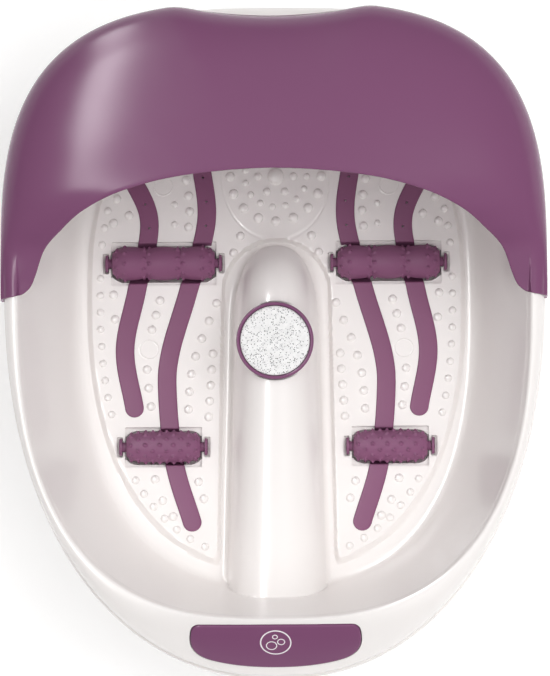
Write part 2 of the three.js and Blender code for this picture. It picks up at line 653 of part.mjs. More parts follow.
// Lug that reaches from the drum out over one of the housing's posts.
function blowerLug([x, y]) {
  const ends = [x, 0.8 * x];
  const sides = [y, 0.8 * y];
  const low = [Math.min(...ends) - LUG_HALF, Math.min(...sides) - LUG_HALF, BLOWER_Z + DRUM_WALL];
  const high = [Math.max(...ends) + LUG_HALF, Math.max(...sides) + LUG_HALF, BLOWER_Z + 2 * DRUM_WALL];
  return cut(box(low, high), rod(BLOWER_R - 1, 0, BEYOND, 0, 0, 24));
}

function blowerBase() {
  const half = BLOWER_Z + BLOWER_H / 2;
  const outside = blowerDrum(BLOWER_R, BLOWER_Z + DRUM_WALL, half - GAP / 2);
  const drum = cut(outside, blowerDrum(BLOWER_R - DRUM_WALL, BLOWER_Z + 2 * DRUM_WALL, half + 1));
  const inlet = rod(DRUM_INLET_R, 0, half - 4, 0, 0, 24);
  return cut(join(drum, ...BLOWER_POSTS.map(blowerLug)), inlet);
}

function blowerCover() {
  const half = BLOWER_Z + BLOWER_H / 2;
  const outside = blowerDrum(BLOWER_R, half + GAP / 2, HUB_Z);
  const drum = cut(outside, blowerDrum(BLOWER_R - DRUM_WALL, half - 1, HUB_Z - DRUM_WALL));
  const spigot = shifted(barAlongY(SPIGOT_R, 10), DUCT_X, DUCT_Y - 4, OUTLET_Z);
  const spigotBore = shifted(barAlongY(SPIGOT_BORE, 30), DUCT_X, DUCT_Y - 8, OUTLET_Z);
  const seatWall = rod(MOTOR_R + 2.4, HUB_Z - 1, HUB_Z + 5, 0, 0, 20);
  const motorSeat = cut(seatWall, rod(MOTOR_R + GAP, HUB_Z, HUB_Z + 6, 0, 0, 20));
  return cut(join(drum, spigot, motorSeat), spigotBore, rod(3, 0, BEYOND, 0, 0, 12));
}

function motor() {
  const low = HUB_Z + GAP;
  const top = [[MOTOR_R, MOTOR_TOP - 3], [MOTOR_R - 2, MOTOR_TOP], [0, MOTOR_TOP]];
  const can = turned([[0, low], [MOTOR_R, low], ...top], 20);
  const tab = (x) => box([x - 2, -0.5, MOTOR_TOP - 1], [x + 2, 0.5, MOTOR_TOP + 4]);
  const tabs = [-8, 8].map(tab);
  return cut(join(can, ...tabs), rod(2.2, 0, HUB_Z + 30, 0, 0, 12));
}
const motorShaft = () => rod(1.6, BLOWER_Z + 9, HUB_Z + 28, 0, 0, 12);

function impeller() {
  const low = BLOWER_Z + 6;
  const plate = rod(27, low + 9, low + 11, 0, 0, 20);
  const hub = rod(5, low + 1, low + 11, 0, 0, 16);
  const blades = Array.from({ length: 8 }, (_, i) => {
    const blade = box([11, -0.8, low + 1], [26.5, 0.8, low + 9.5]);
    const swept = moved(blade, new THREE.Matrix4().makeRotationZ(0.5).setPosition(-1, -5, 0));
    return moved(swept, new THREE.Matrix4().makeRotationZ((i * Math.PI) / 4));
  });
  return cut(join(plate, hub, ...blades), rod(2, 0, BEYOND, 0, 0, 12));
}

// Hose from the blower's spigot to the manifold under the toe end of the beds.
const MANIFOLD = { y: 122, half: 108, deep: 15, low: 20, high: 36 };
const hoseY = [DUCT_Y - 8, MANIFOLD.y - MANIFOLD.deep - 1];
function airHose() {
  const shape = new THREE.Shape().absarc(0, 0, DUCT_R + 1, 0, 2 * Math.PI, false);
  shape.holes.push(new THREE.Path().absarc(0, 0, DUCT_R - 0.8, 0, 2 * Math.PI, true));
  const path = new THREE.CubicBezierCurve3(
    new THREE.Vector3(DUCT_X, hoseY[0] + 2, OUTLET_Z),
    new THREE.Vector3(DUCT_X, hoseY[0] + 34, OUTLET_Z),
    new THREE.Vector3(0, hoseY[1] - 34, INLET_Z),
    new THREE.Vector3(0, hoseY[1] - 1, INLET_Z),
  );
  return solid(new THREE.ExtrudeGeometry(shape, { extrudePath: path, steps: 8, curveSegments: 5 }));
}

// Shallow tray clamped under the tub: air goes from the hose up through the holes in the channels.
function airManifold() {
  const { y, half, deep, low, high } = MANIFOLD;
  const tray = box([-half, y - deep, low], [half, y + deep, high]);
  const room = box([-half + 2, y - deep + 2, low + 2], [half - 2, y + deep - 2, high + 1]);
  const spigot = shifted(barAlongY(SPIGOT_R, 12), 0, y - deep - 5, INLET_Z);
  const bore = shifted(barAlongY(SPIGOT_BORE, 30), 0, y - deep - 8, INLET_Z);
  return cut(cut(tray, room).add(spigot), bore);
}

const TERMINAL = { x: 40, y: 152, z: BASE_Z + WALL + GAP, size: [34, 14, 13] };
function terminalBlock() {
  const [x, y, z] = TERMINAL.size;
  const low = [TERMINAL.x - x / 2, TERMINAL.y - y / 2, TERMINAL.z];
  const body = box(low, [low[0] + x, low[1] + y, low[2] + z]);
  const screwWell = (dx, dy) => rod(1.9, low[2] + 6, low[2] + z + 1, TERMINAL.x + dx, TERMINAL.y + dy, 10);
  const wells = [-10, 0, 10].flatMap((dx) => [-3, 3].map((dy) => screwWell(dx, dy)));
  return cut(body, ...wells);
}

// ---------- pumice attachment ----------
const CUP_R = PUMICE_R - 2.9; // inside of the holder's ring
const CUP_FLOOR = 3.4;
const CUP_TOP = 10;
function pumiceHolder() {
  const stemR = SOCKET_R - GAP;
  const stem = [[0, 1 - SOCKET_DEPTH], [stemR, 1 - SOCKET_DEPTH], [stemR, GAP]];
  const outside = [[21, GAP], [PUMICE_R, 3], [PUMICE_R, CUP_TOP]];
  const cup = [[CUP_R, CUP_TOP], [CUP_R, CUP_FLOOR], [0, CUP_FLOOR]];
  return moved(turned([...stem, ...outside, ...cup], 28), seatMatrix);
}

function pumiceStone() {
  const [r, low, top] = [CUP_R - GAP, CUP_FLOOR + GAP, 11.2];
  const profile = [[0, low], [r, low], [r, top - 1], [r - 1.2, top], [0, top]];
  return moved(turned(profile, 28), seatMatrix);
}

// ---------- splash guard ----------
// Its opening edge from the middle to the right end, which drops down over the rim.
const OPENING_HALF = [
  [0, 96.8, 190],
  [54.5, 92.8, 188.5],
  [92, 84.5, 184],
  [117, 74, 175],
  [133, 62.5, 162],
  [143, 53, 151],
  [150.5, 33, 141],
  [155.5, 24.5, 138],
];
const END_SECTIONS = [-5, -3.6, -1.8, 4.5, 13.5, 22.5]; // degrees, between the rim's own stations
const HOOD_OUT = grown(OUTER, GAP + HOOD_WALL);
const NOTCH = { y: 201.3, r: 248 }; // shallow concave edge at the toe end, where the rim shows
const DOME_POWER = 2.6;
const FLANGE = 9; // how far the guard reaches down outside the rim
const DOME_SHARES = [0, 0.025, 0.08, 0.18, 0.32, 0.5, 0.75, 1];

function hoodRadius(angle, inset) {
  const full = radius(grown(HOOD_OUT, -inset), angle);
  if (Math.sin(angle) < 0.9) return full;
  const along = (NOTCH.y + NOTCH.r - WIDEST_Y) * Math.sin(angle);
  const across = (NOTCH.y + NOTCH.r - WIDEST_Y) * Math.cos(angle);
  return Math.min(full, along - Math.sqrt((NOTCH.r + inset) ** 2 - across ** 2));
}

// Lowest height at which the guard's face clears the rim, at a radius.
function overRim(r, angle, lift) {
  const s = (r - radius(CREST, angle)) / bandWidth(angle);
  return s < -0.25 ? -Infinity : bandZ(angle, THREE.MathUtils.clamp(s, 0, 1)) + lift;
}

// Section of the guard through one point of its opening edge, from the flange up and over to that edge.
function hoodSection(edge, inset) {
  const angle = Math.atan2(edge.y - WIDEST_Y, edge.x);
  const outer = hoodRadius(angle, inset);
  const inner = Math.hypot(edge.x, edge.y - WIDEST_Y);
  const lift = GAP + HOOD_WALL - inset;
  const low = edgeZ(angle) + lift;
  const top = edge.z - inset;
  const over = DOME_SHARES.map((share) => {
    const r = THREE.MathUtils.lerp(outer, inner, share);
    const z = low + (top - low) * (1 - (1 - share) ** DOME_POWER) ** (1 / DOME_POWER);
    return planPoint(r, angle, Math.max(z, overRim(r, angle, lift)));
  });
  return [planPoint(outer, angle, edgeZ(angle) - FLANGE), ...over];
}

// Closed body between two matching grids of points, the outer and the inner face of a thin shell.
function shell(outerRows, innerRows) {
  const [rows, columns] = [outerRows.length, outerRows[0].length];
  const at = (face, i, k) => (face * rows + i) * columns + k;
  const index = [];
  const quad = (a, b, c, d) => index.push(a, b, c, a, c, d);
  for (let i = 0; i + 1 < rows; i++) {
    for (let k = 0; k + 1 < columns; k++) {
      quad(at(0, i, k), at(0, i + 1, k), at(0, i + 1, k + 1), at(0, i, k + 1));
      quad(at(1, i, k + 1), at(1, i + 1, k + 1), at(1, i + 1, k), at(1, i, k));
    }
    quad(at(1, i, 0), at(1, i + 1, 0), at(0, i + 1, 0), at(0, i, 0));
    const k = columns - 1;
    quad(at(0, i, k), at(0, i + 1, k), at(1, i + 1, k), at(1, i, k));
  }
  for (let k = 0; k + 1 < columns; k++) {
    quad(at(0, 0, k), at(0, 0, k + 1), at(1, 0, k + 1), at(1, 0, k));
    const i = rows - 1;
    quad(at(1, i, k), at(1, i, k + 1), at(0, i, k + 1), at(0, i, k));
  }
  return solid(new THREE.BufferGeometry().setFromPoints([...outerRows, ...innerRows].flat()).setIndex(index));
}

// The opening edge, and its point at an angle round the basin.
const openingEdge = (() => {
  const right = OPENING_HALF.map(([x, y, z]) => new THREE.Vector3(x, y, z));
  const left = OPENING_HALF.slice(1).map(([x, y, z]) => new THREE.Vector3(-x, y, z));
  return new THREE.CatmullRomCurve3([...left.reverse(), ...right]).getPoints(240);
})();
// from -90 to 270 degrees, so that the angles along the opening edge run on without a jump
const angleOf = (point) =>
  ((Math.atan2(point.y - WIDEST_Y, point.x) + 2.5 * Math.PI) % (2 * Math.PI)) - Math.PI / 2;

function openingAt(angle) {
  const next = openingEdge.findIndex((point) => angleOf(point) <= angle + 1e-9);
  if (next < 1) return openingEdge.at(next).clone();
  const [a, b] = [openingEdge[next - 1], openingEdge[next]];
  return a.clone().lerp(b, (angleOf(a) - angle) / (angleOf(a) - angleOf(b)));
}

function splashGuard() {
  const ends = END_SECTIONS.map(THREE.MathUtils.degToRad);
  const rear = ANGLES.slice(0, STEPS / 2 + 1);
  const angles = [...rear, ...ends, ...ends.map((angle) => Math.PI - angle)].sort((a, b) => b - a);
  const edges = angles.map(openingAt);
  const faces = [0, HOOD_WALL].map((inset) => edges.map((edge) => hoodSection(edge, inset)));
  return cut(shell(...faces), rimEnvelope());
}

// The rim with a margin all round, which the guard must stay clear of.
function rimEnvelope() {
  const over = BAND_SHARES.map((s) => band(s, GAP, -GAP));
  const inside = (inset, drop) => ringOf(grown(CREST, -inset), (angle) => crestZ(angle) - drop);
  const inner = [inside(1.4 + GAP, 1.2 - GAP), inside(3 + GAP, 5), inside(12, 30)];
  return loft([ringOf(grown(OUTER, GAP), 50), ...over, ...inner, ringOf(grown(CREST, -20), 52)]);
}

// ---------- roller pieces, each built about its own axis along X ----------
const swapped = (profile) => profile.map(([x, r]) => [r, x]);
const alongX = (profile, sides) =>
  solid(new THREE.LatheGeometry(vectors(swapped(profile)), sides).rotateZ(-Math.PI / 2));

function barrelRadius(roller, x) {
  if (roller === HEEL_ROLLER) return roller.r * (1 - (Math.abs(x) / (roller.half + 0.8)) ** 4) ** 0.25;
  const lobe = (2 * roller.half) / 3;
  const middle = lobe * Math.round(THREE.MathUtils.clamp(x / lobe, -1, 1));
  const off = Math.abs(x - middle) / (lobe * 0.59);
  const end = Math.abs(x) > lobe && Math.sign(x - middle) === Math.sign(x);
  return roller.r * Math.sqrt(1 - (end ? 0.8 : 0.36) * off ** 2);
}

function rollerBarrel(roller) {
  const bore = AXLE_R + GAP;
  const steps = 11;
  const skin = Array.from({ length: steps }, (_, i) => {
    const x = roller.half * -Math.cos((Math.PI * i) / (steps - 1));
    return [x, barrelRadius(roller, x)];
  });
  return alongX([[-roller.half, bore], ...skin, [roller.half, bore], [-roller.half, bore]], 12);
}

// Axle with one flange; the other flange is a press-on cap, so that the barrel can be threaded on.
const flangeAt = (roller) => wellHalf(roller) + SADDLE + GAP;
const FLANGE_T = 1.8;
const CAP_BORE = 1.8;
const BEVEL = 0.5;
function rollerAxle(roller) {
  const x = flangeAt(roller);
  const end = -x - FLANGE_T;
  const flange = [[end, 0], [end, DISC_R - BEVEL], [end + BEVEL, DISC_R], [-x, DISC_R], [-x, AXLE_R]];
  const spigotR = CAP_BORE - GAP;
  const spigotEnd = x + FLANGE_T - 0.2;
  const spigot = [[x - GAP, AXLE_R], [x - GAP, spigotR], [spigotEnd, spigotR], [spigotEnd, 0]];
  return alongX([...flange, ...spigot], 10);
}

function rollerCap(roller) {
  const x = flangeAt(roller);
  const end = x + FLANGE_T;
  const outside = [[x, CAP_BORE], [x, DISC_R], [end - BEVEL, DISC_R], [end, DISC_R - BEVEL]];
  return alongX([...outside, [end, CAP_BORE], [x, CAP_BORE]], 10);
}

// ---------- assembly ----------
piece("tub", tub(), WHITE);
piece("lower_housing", housing(), WHITE);
piece("splash_guard", splashGuard(), PURPLE);

for (const { side, sign } of SIDES) {
  for (const [place, points] of Object.entries(STRIPS))
    piece(`air_strip_${place}_${side}`, airStrip(points, sign), PURPLE_SOFT);
  for (const roller of ROLLERS) {
    const holder = new THREE.Group();
    holder.position.set(sign * roller.x, roller.y, ROLLER_Z);
    foot_spa.add(holder);
    piece(`roller_barrel_${roller.name}_${side}`, rollerBarrel(roller), PURPLE_SOFT, holder);
    piece(`roller_axle_${roller.name}_${side}`, rollerAxle(roller), PURPLE, holder);
    piece(`roller_cap_${roller.name}_${side}`, rollerCap(roller), PURPLE, holder);
  }
}

piece("pumice_holder", pumiceHolder(), PURPLE);
piece("pumice_stone", pumiceStone(), STONE);
piece("bubble_button", button(), PURPLE);
piece("switch_body", switchBody(), BLACK);
piece("switch_plunger", switchPlunger(), GREY);

for (const { name, at } of footPlaces) piece(name, rubberFoot(), RUBBER).position.set(...at, 0);
for (const { name, at } of screwPlaces) piece(name, screw(), STEEL).position.set(...at, 0);
piece("cable_gland", cableGland(), RUBBER);

piece("blower_base", blowerBase(), GREY);
piece("blower_cover", blowerCover(), GREY);
piece("blower_impeller", impeller(), BLACK);
piece("motor_can", motor(), STEEL);
piece("motor_shaft", motorShaft(), STEEL);
piece("air_hose", airHose(), RUBBER);
piece("air_manifold", airManifold(), GREY);
piece("terminal_block", terminalBlock(), WHITE);

export default foot_spa;
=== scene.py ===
"""Looks of the foot spa basin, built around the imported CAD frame. Shapes are worked out in millimetres
and turned into metres when a mesh is made. +X is the user's right, +Y the toe end, +Z up."""

import math

import bmesh
import bpy
import numpy as np
from mathutils import Matrix, Vector


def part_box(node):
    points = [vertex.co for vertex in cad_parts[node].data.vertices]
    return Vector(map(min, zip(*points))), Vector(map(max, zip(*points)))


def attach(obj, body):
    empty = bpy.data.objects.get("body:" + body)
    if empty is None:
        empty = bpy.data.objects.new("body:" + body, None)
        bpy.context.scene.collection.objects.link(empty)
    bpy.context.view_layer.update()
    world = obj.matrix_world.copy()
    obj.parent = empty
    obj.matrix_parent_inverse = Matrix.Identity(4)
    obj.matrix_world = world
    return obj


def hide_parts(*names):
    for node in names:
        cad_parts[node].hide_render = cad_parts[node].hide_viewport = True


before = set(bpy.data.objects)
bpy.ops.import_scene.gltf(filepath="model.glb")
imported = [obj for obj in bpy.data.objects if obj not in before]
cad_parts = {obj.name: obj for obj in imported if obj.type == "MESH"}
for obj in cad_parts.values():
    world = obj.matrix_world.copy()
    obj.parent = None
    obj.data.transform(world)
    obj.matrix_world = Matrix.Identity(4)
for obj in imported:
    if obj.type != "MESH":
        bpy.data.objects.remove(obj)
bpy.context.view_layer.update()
MM = 0.001

# ---------- driving dimensions, as in the CAD part ----------
LENGTH = 417
RIM_WIDTH = 338
WIDEST_Y = 39.5
WALL = 2.5
GAP = 0.4
TROUGH_Z = 40
BED_Z = 46
CREST_Z = 140
CREST_SLOPE = 0.05
EDGE_DROP = 1.1
SKIRT = 12
BASE_Z = 4
HOOD_WALL = 1.8
AXLE_R = 3
DISC_R = 5.5
PUMICE_R = 24.5
SOCKET_R = 8.4  # socket for the pumice holder's stem
SOCKET_DEPTH = 13
SEAT_TILT = math.radians(9)
SEAT = Vector((0, 4, 93))
SIDES = {"left": -1, "right": 1}

TUB_ANGLES = 1080  # points round the tub, the housing and the guard
HOUSING_ANGLES = 480


# ---------- outlines: two superellipse halves that share the widest station ----------
class Outline:
    def __init__(self, half, rear, front, rear_power, front_power):
        self.sizes = (half, rear, front)
        self.powers = (rear_power, front_power)

    def grown(self, by):
        return Outline(*(size + by for size in self.sizes), *self.powers)

    def radius(self, angle):
        half, rear, front = self.sizes
        is_rear = np.sin(angle) > 0
        power = np.where(is_rear, *self.powers)
        across = np.abs(np.cos(angle)) / half
        along = np.abs(np.sin(angle)) / np.where(is_rear, rear, front)
        return (across**power + along**power) ** (-1 / power)


OUTER = Outline(RIM_WIDTH / 2, LENGTH / 2 - WIDEST_Y, LENGTH / 2 + WIDEST_Y, 3.1, 2.25)
CREST = Outline(162, 161, 217, 3.1, 2.75)
FOOT = Outline(126.5, 132, 185, 2.9, 2.6)
BED = Outline(120, 124, 176, 2.9, 2.35)


def smooth_step(value, low, high):
    share = np.clip((value - low) / (high - low), 0, 1)
    return share * share * (3 - 2 * share)


def smooth_max(a, b, blend):
    share = np.clip(0.5 + 0.5 * (a - b) / blend, 0, 1)
    return b + (a - b) * share + blend * share * (1 - share)


def smooth_min(a, b, blend):
    return -smooth_max(-a, -b, blend)


def crest_z(angle):
    return CREST_Z + CREST_SLOPE * (WIDEST_Y + CREST.radius(angle) * np.sin(angle))


def band_width(angle):
    return OUTER.radius(angle) - CREST.radius(angle)


def edge_z(angle):
    return crest_z(angle) - EDGE_DROP * band_width(angle)


def skirt_z(angle):
    return edge_z(angle) - SKIRT


def band_z(angle, s):
    """Height at share s of the way from the crest to the outer edge."""
    power = 2 - 0.88 * smooth_step(band_width(angle), 8, 30)
    return edge_z(angle) + (crest_z(angle) - edge_z(angle)) * (1 - s**power) ** (1 / power)


# ---------- mesh helpers ----------
MERGE_UNDER = 1e-7  # metres between two points that count as one


def new_object(name, body, merge):
    """Object of a closed body, given as points in millimetres and faces, with its faces turned outward."""
    points, faces = body
    mesh = bpy.data.meshes.new(name)
    mesh.from_pydata((points * MM).tolist(), [], faces)
    work = bmesh.new()
    work.from_mesh(mesh)
    if merge:
        bmesh.ops.remove_doubles(work, verts=work.verts, dist=MERGE_UNDER)
    bmesh.ops.recalc_face_normals(work, faces=work.faces)
    work.to_mesh(mesh)
    work.free()
    piece = bpy.data.objects.new(name, mesh)
    bpy.context.scene.collection.objects.link(piece)
    return piece


def make(name, shape, body, material, nodes=()):
    """A piece of one shape that rides on a body and stands for some CAD nodes."""
    piece = new_object(name, shape, merge=True)
    piece.data.materials.append(material)
    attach(piece, body)
    if nodes:
        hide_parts(*nodes)
    smooth(piece)
    return piece


def smooth(piece):
    piece.data.polygons.foreach_set("use_smooth", [True] * len(piece.data.polygons))


def crisp(piece, degrees=38):
    """Keeps edges sharper than an angle as edges and smooths the rest."""
    piece.data.set_sharp_from_angle(angle=math.radians(degrees))


def grid_faces(rows, columns, wrap_rows=False, wrap_columns=True):
    """Quads of a grid of points, row after row."""
    i = np.arange(rows if wrap_rows else rows - 1)[:, None]
    j = np.arange(columns if wrap_columns else columns - 1)[None, :]
    next_i, next_j = (i + 1) % rows, (j + 1) % columns
    corners = [i * columns + j, i * columns + next_j, next_i * columns + next_j, next_i * columns + j]
    return np.stack(np.broadcast_arrays(*corners), axis=-1).reshape(-1, 4)


def rings_body(rings):
    """Points and faces of a closed body through rings of equal counts, with a fan on each end."""
    rows, columns = rings.shape[:2]
    points = np.concatenate([rings.reshape(-1, 3), [rings[0].mean(axis=0), rings[-1].mean(axis=0)]])
    faces = grid_faces(rows, columns).tolist()
    first, last = len(points) - 2, len(points) - 1
    top = (rows - 1) * columns
    for j in range(columns):
        k = (j + 1) % columns
        faces.append([first, k, j])
        faces.append([last, top + j, top + k])
    return points, faces


def hoop_body(rings):
    """Points and faces of a closed body whose last ring meets its first, as a tyre does."""
    rows, columns = rings.shape[:2]
    return rings.reshape(-1, 3), grid_faces(rows, columns, wrap_rows=True).tolist()


def around(count):
    """Equal angles round a full turn."""
    return np.arange(count) * 2 * math.pi / count


def sections(*corners):
    """Corners of a profile, each as radius and height at every angle, as rows of points."""
    return np.array(corners).transpose(0, 2, 1)


def softened(profile, times=3):
    """Chaikin corner cutting along the first axis, with the two ends kept."""
    for _ in range(times):
        near = 0.75 * profile[:-1] + 0.25 * profile[1:]
        far = 0.25 * profile[:-1] + 0.75 * profile[1:]
        middle = np.stack([near, far], axis=1).reshape(-1, *profile.shape[1:])
        profile = np.concatenate([profile[:1], middle, profile[-1:]])
    return profile


def plan(r, angle, z):
    return np.stack(np.broadcast_arrays(r * np.cos(angle), WIDEST_Y + r * np.sin(angle), z), axis=-1)


def prism(outline_points, low, high):
    """Closed upright prism as points and faces."""
    flat = np.asarray(outline_points, float)
    count = len(flat)
    points = np.concatenate([np.c_[flat, np.full(count, low)], np.c_[flat, np.full(count, high)]])
    sides = [[j, (j + 1) % count, count + (j + 1) % count, count + j] for j in range(count)]
    return points, [list(range(count))[::-1], [count + j for j in range(count)], *sides]


def rounded_rectangle(width, depth, corner, x=0, y=0, steps=6):
    points = []
    for quarter, (sx, sy) in enumerate([(1, 1), (-1, 1), (-1, -1), (1, -1)]):
        for k in range(steps + 1):
            turn = (quarter + k / steps) * math.pi / 2
            cx, cy = x + sx * (width / 2 - corner), y + sy * (depth / 2 - corner)
            points.append((cx + corner * math.cos(turn), cy + corner * math.sin(turn)))
    return points


def lathe_rings(profile, sides):
    """One ring of points about Z for each (radius, height) of the profile."""
    turns = around(sides)
    rings = [(r * np.cos(turns), r * np.sin(turns), np.full(sides, float(h))) for r, h in profile]
    return np.array(rings).transpose(0, 2, 1)


def lathe(profile, sides=64):
    """Closed body of revolution about Z. The profile is a list of (radius, height) from axis to axis."""
    return rings_body(lathe_rings(profile, sides))


def upright(x, y, r, low, high, sides):
    """Upright cylinder."""
    return moved(lathe([(r, low), (r, high)], sides), Matrix.Translation((x, y, 0)))


def moved(body, matrix):
    points, faces = body
    turn, shift = np.array(matrix.to_3x3()), np.array(matrix.translation)
    return points @ turn.T + shift, faces


def together(bodies):
    points, faces, start = [], [], 0
    for body_points, body_faces in bodies:
        points.append(body_points)
        faces += [[start + index for index in face] for face in body_faces]
        start += len(body_points)
    return np.concatenate(points), faces


def carve(piece, operation, bodies):
    """Applies one boolean of a list of separate closed bodies to a piece."""
    other = new_object("tool", together(bodies), merge=False)
    modifier = piece.modifiers.new("carve", "BOOLEAN")
    modifier.operation = operation
    modifier.solver = "MANIFOLD"
    modifier.object = other
    result = bpy.data.meshes.new_from_object(piece.evaluated_get(bpy.context.evaluated_depsgraph_get()))
    piece.modifiers.clear()
    piece.data = result
    bpy.data.objects.remove(other)
    smooth(piece)


def centre_mm(node):
    low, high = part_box(node)
    return (Vector(low) + Vector(high)) / 2 / MM


def size_mm(node):
    low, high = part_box(node)
    return (Vector(high) - Vector(low)) / MM


# ---------- materials ----------
def srgb(red, green, blue):
    """Linear colour from 0-255 display values, none of them near black."""
    return [((channel / 255 + 0.055) / 1.055) ** 2.4 for channel in (red, green, blue)] + [1]


class Nodes:
    """Small helper that adds and links shader nodes."""

    def __init__(self, name):
        self.material = bpy.data.materials.new(name)
        self.material.use_nodes = True
        self.tree = self.material.node_tree
        self.shader = self.tree.nodes["Principled BSDF"]
        self.place = self.add("ShaderNodeTexCoord").outputs["Object"]

    def add(self, kind, **values):
        node = self.tree.nodes.new(kind)
        for key, value in values.items():
            if hasattr(node, key):
                setattr(node, key, value)
            else:
                node.inputs[key.replace("_", " ")].default_value = value
        return node

    def link(self, source, target):
        self.tree.links.new(source, target)

    def noise(self, scale, detail=3, roughness=0.5):
        node = self.add("ShaderNodeTexNoise", Scale=scale, Detail=detail, Roughness=roughness)
        self.link(self.place, node.inputs["Vector"])
        return node.outputs["Fac"]

    def ramp(self, source, low, high, *colours):
        node = self.add("ShaderNodeValToRGB")
        self.link(source, node.inputs["Fac"])
        for element, position, colour in zip(node.color_ramp.elements, (low, high), colours):
            element.position = position
            element.color = colour
        return node.outputs["Color"]

    def spread(self, source, low, high):
        node = self.add("ShaderNodeMapRange")
        self.link(source, node.inputs["Value"])
        node.inputs["To Min"].default_value = low
        node.inputs["To Max"].default_value = high
        return node.outputs["Result"]

    def reckon(self, operation, source, other):
        """One sum with a socket and either a number or another socket."""
        node = self.add("ShaderNodeMath", operation=operation)
        self.link(source, node.inputs[0])
        if isinstance(other, bpy.types.NodeSocket):
            self.link(other, node.inputs[1])
        else:
            node.inputs[1].default_value = other
        return node.outputs[0]

    def colour(self, source):
        self.link(source, self.shader.inputs["Base Color"])

    def uneven_gloss(self, scale, detail, low, high):
        gloss = self.spread(self.noise(scale, detail), low, high)
        self.link(gloss, self.shader.inputs["Roughness"])

    def bump(self, source, distance, strength=1.0, under=None):
        node = self.add("ShaderNodeBump")
        node.inputs["Strength"].default_value = strength
        node.inputs["Distance"].default_value = distance
        self.link(source, node.inputs["Height"])
        if under is not None:
            self.link(under, node.inputs["Normal"])
        self.link(node.outputs["Normal"], self.shader.inputs["Normal"])
        return node.outputs["Normal"]

    def set(self, **values):
        for key, value in values.items():
            self.shader.inputs[key.replace("_", " ")].default_value = value


def shade(colour, by):
    return [channel * by for channel in colour[:3]] + [1]


def moulded(name, colour, roughness, texture=0.00001, scale=900, variation=0.03, **settings):
    """Injection-moulded plastic: faint tone drift, uneven gloss and a fine moulded grain."""
    nodes = Nodes(name)
    tones = shade(colour, 1 - variation), shade(colour, 1 + variation)
    nodes.colour(nodes.ramp(nodes.noise(9, 4), 0.3, 0.7, *tones))
    nodes.uneven_gloss(60, 5, roughness * 0.85, roughness * 1.15)
    waves = nodes.bump(nodes.noise(45, 2), texture * 4, 0.5)
    nodes.bump(nodes.noise(scale, 3), texture, 0.5, under=waves)
    nodes.set(**settings)
    return nodes.material


SPECK_SCALE = 1100  # cells to a metre
PLAIN_SHARE = 0.55  # share of the cells that hold no speck
SPECK_REACH = 0.38  # of a cell


def pumice_material(name):
    """White pumice stone: dark and grey specks, pale blotches and small pits."""
    nodes = Nodes(name)
    pale = nodes.ramp(nodes.noise(260, 6, 0.7), 0.35, 0.65, srgb(236, 236, 236), srgb(250, 250, 250))
    cells = nodes.add("ShaderNodeTexVoronoi", Scale=SPECK_SCALE, Randomness=1.0)
    nodes.link(nodes.place, cells.inputs["Vector"])
    pick = nodes.add("ShaderNodeSeparateColor")
    nodes.link(cells.outputs["Color"], pick.inputs["Color"])
    chosen = nodes.reckon("GREATER_THAN", pick.outputs["Red"], PLAIN_SHARE)
    near = nodes.reckon("LESS_THAN", cells.outputs["Distance"], SPECK_REACH)
    speck = nodes.reckon("MULTIPLY", chosen, near)
    dark = nodes.ramp(pick.outputs["Green"], 0.1, 0.9, srgb(56, 58, 62), srgb(180, 181, 184))
    mix = nodes.add("ShaderNodeMix", data_type="RGBA")
    nodes.link(speck, mix.inputs["Factor"])
    nodes.link(pale, mix.inputs[6])
    nodes.link(dark, mix.inputs[7])
    nodes.colour(mix.outputs[2])
    grain = nodes.bump(nodes.noise(900, 6, 0.7), 0.0003, 0.7)
    nodes.bump(nodes.reckon("MULTIPLY", speck, -1), 0.0003, 0.5, under=grain)
    nodes.set(Roughness=0.95)
    return nodes.material


def metal(name, colour, roughness):
    """Zinc-plated steel with fine scratches and cloudy gloss."""
    nodes = Nodes(name)
    nodes.colour(nodes.ramp(nodes.noise(80, 5), 0.3, 0.7, shade(colour, 0.88), shade(colour, 1.05)))
    nodes.uneven_gloss(350, 6, roughness * 0.7, roughness * 1.4)
    nodes.bump(nodes.noise(1500, 4), 0.00002, 0.5)
    nodes.set(Metallic=1.0)
    return nodes.material


WHITE = moulded(
    "white_gloss", srgb(246, 242, 240), 0.3, variation=0.01, Coat_Weight=0.25, Coat_Roughness=0.1
)
PURPLE = moulded("purple_gloss", srgb(124, 76, 111), 0.24, variation=0.01, Specular_IOR_Level=0.22)
STRIP = moulded("purple_satin", srgb(134, 83, 116), 0.55, 0.00002, variation=0.04, Specular_IOR_Level=0.3)
BARREL = moulded("purple_rubbery", srgb(131, 81, 114), 0.6, 0.00003, variation=0.05, Specular_IOR_Level=0.3)
STONE = pumice_material("pumice_stone_look")
RUBBER = moulded("dark_rubber", srgb(70, 70, 74), 0.75, texture=0.00004, variation=0.08)
GREY = moulded("grey_plastic_look", srgb(140, 140, 145), 0.5, texture=0.00003)
BLACK = moulded("black_plastic_look", srgb(34, 34, 37), 0.45, texture=0.00003, variation=0.1)
OFF_WHITE = moulded("terminal_look", srgb(230, 227, 219), 0.5, texture=0.00003)
PRINT = moulded("printed_ink", srgb(238, 232, 236), 0.5, variation=0.02)
STEEL = metal("plated_steel", srgb(188, 190, 194), 0.3)


# ---------- strips ----------
STRIP_WIDTH = 11.3
STRIP_TOP = 46.8
STRIP_BASE = 44.3
STRIPS = {
    "inner": [(48.5, 128), (45, 90), (56.5, 45), (68.6, 3), (70.2, -25), (65.5, -69), (54.5, -106)],
    "outer": [(96, 124), (82, 90), (90, 45), (97.6, 6), (91.5, -32)],
}
STRIP_SKIN = 0.25  # thickness of a strip inside a well, beside the barrel
SEAM = 0.06  # what shows between a strip and its channel
HOLE_PITCH = 16
CHANNEL_STEP = 3  # between the points of a channel's outline


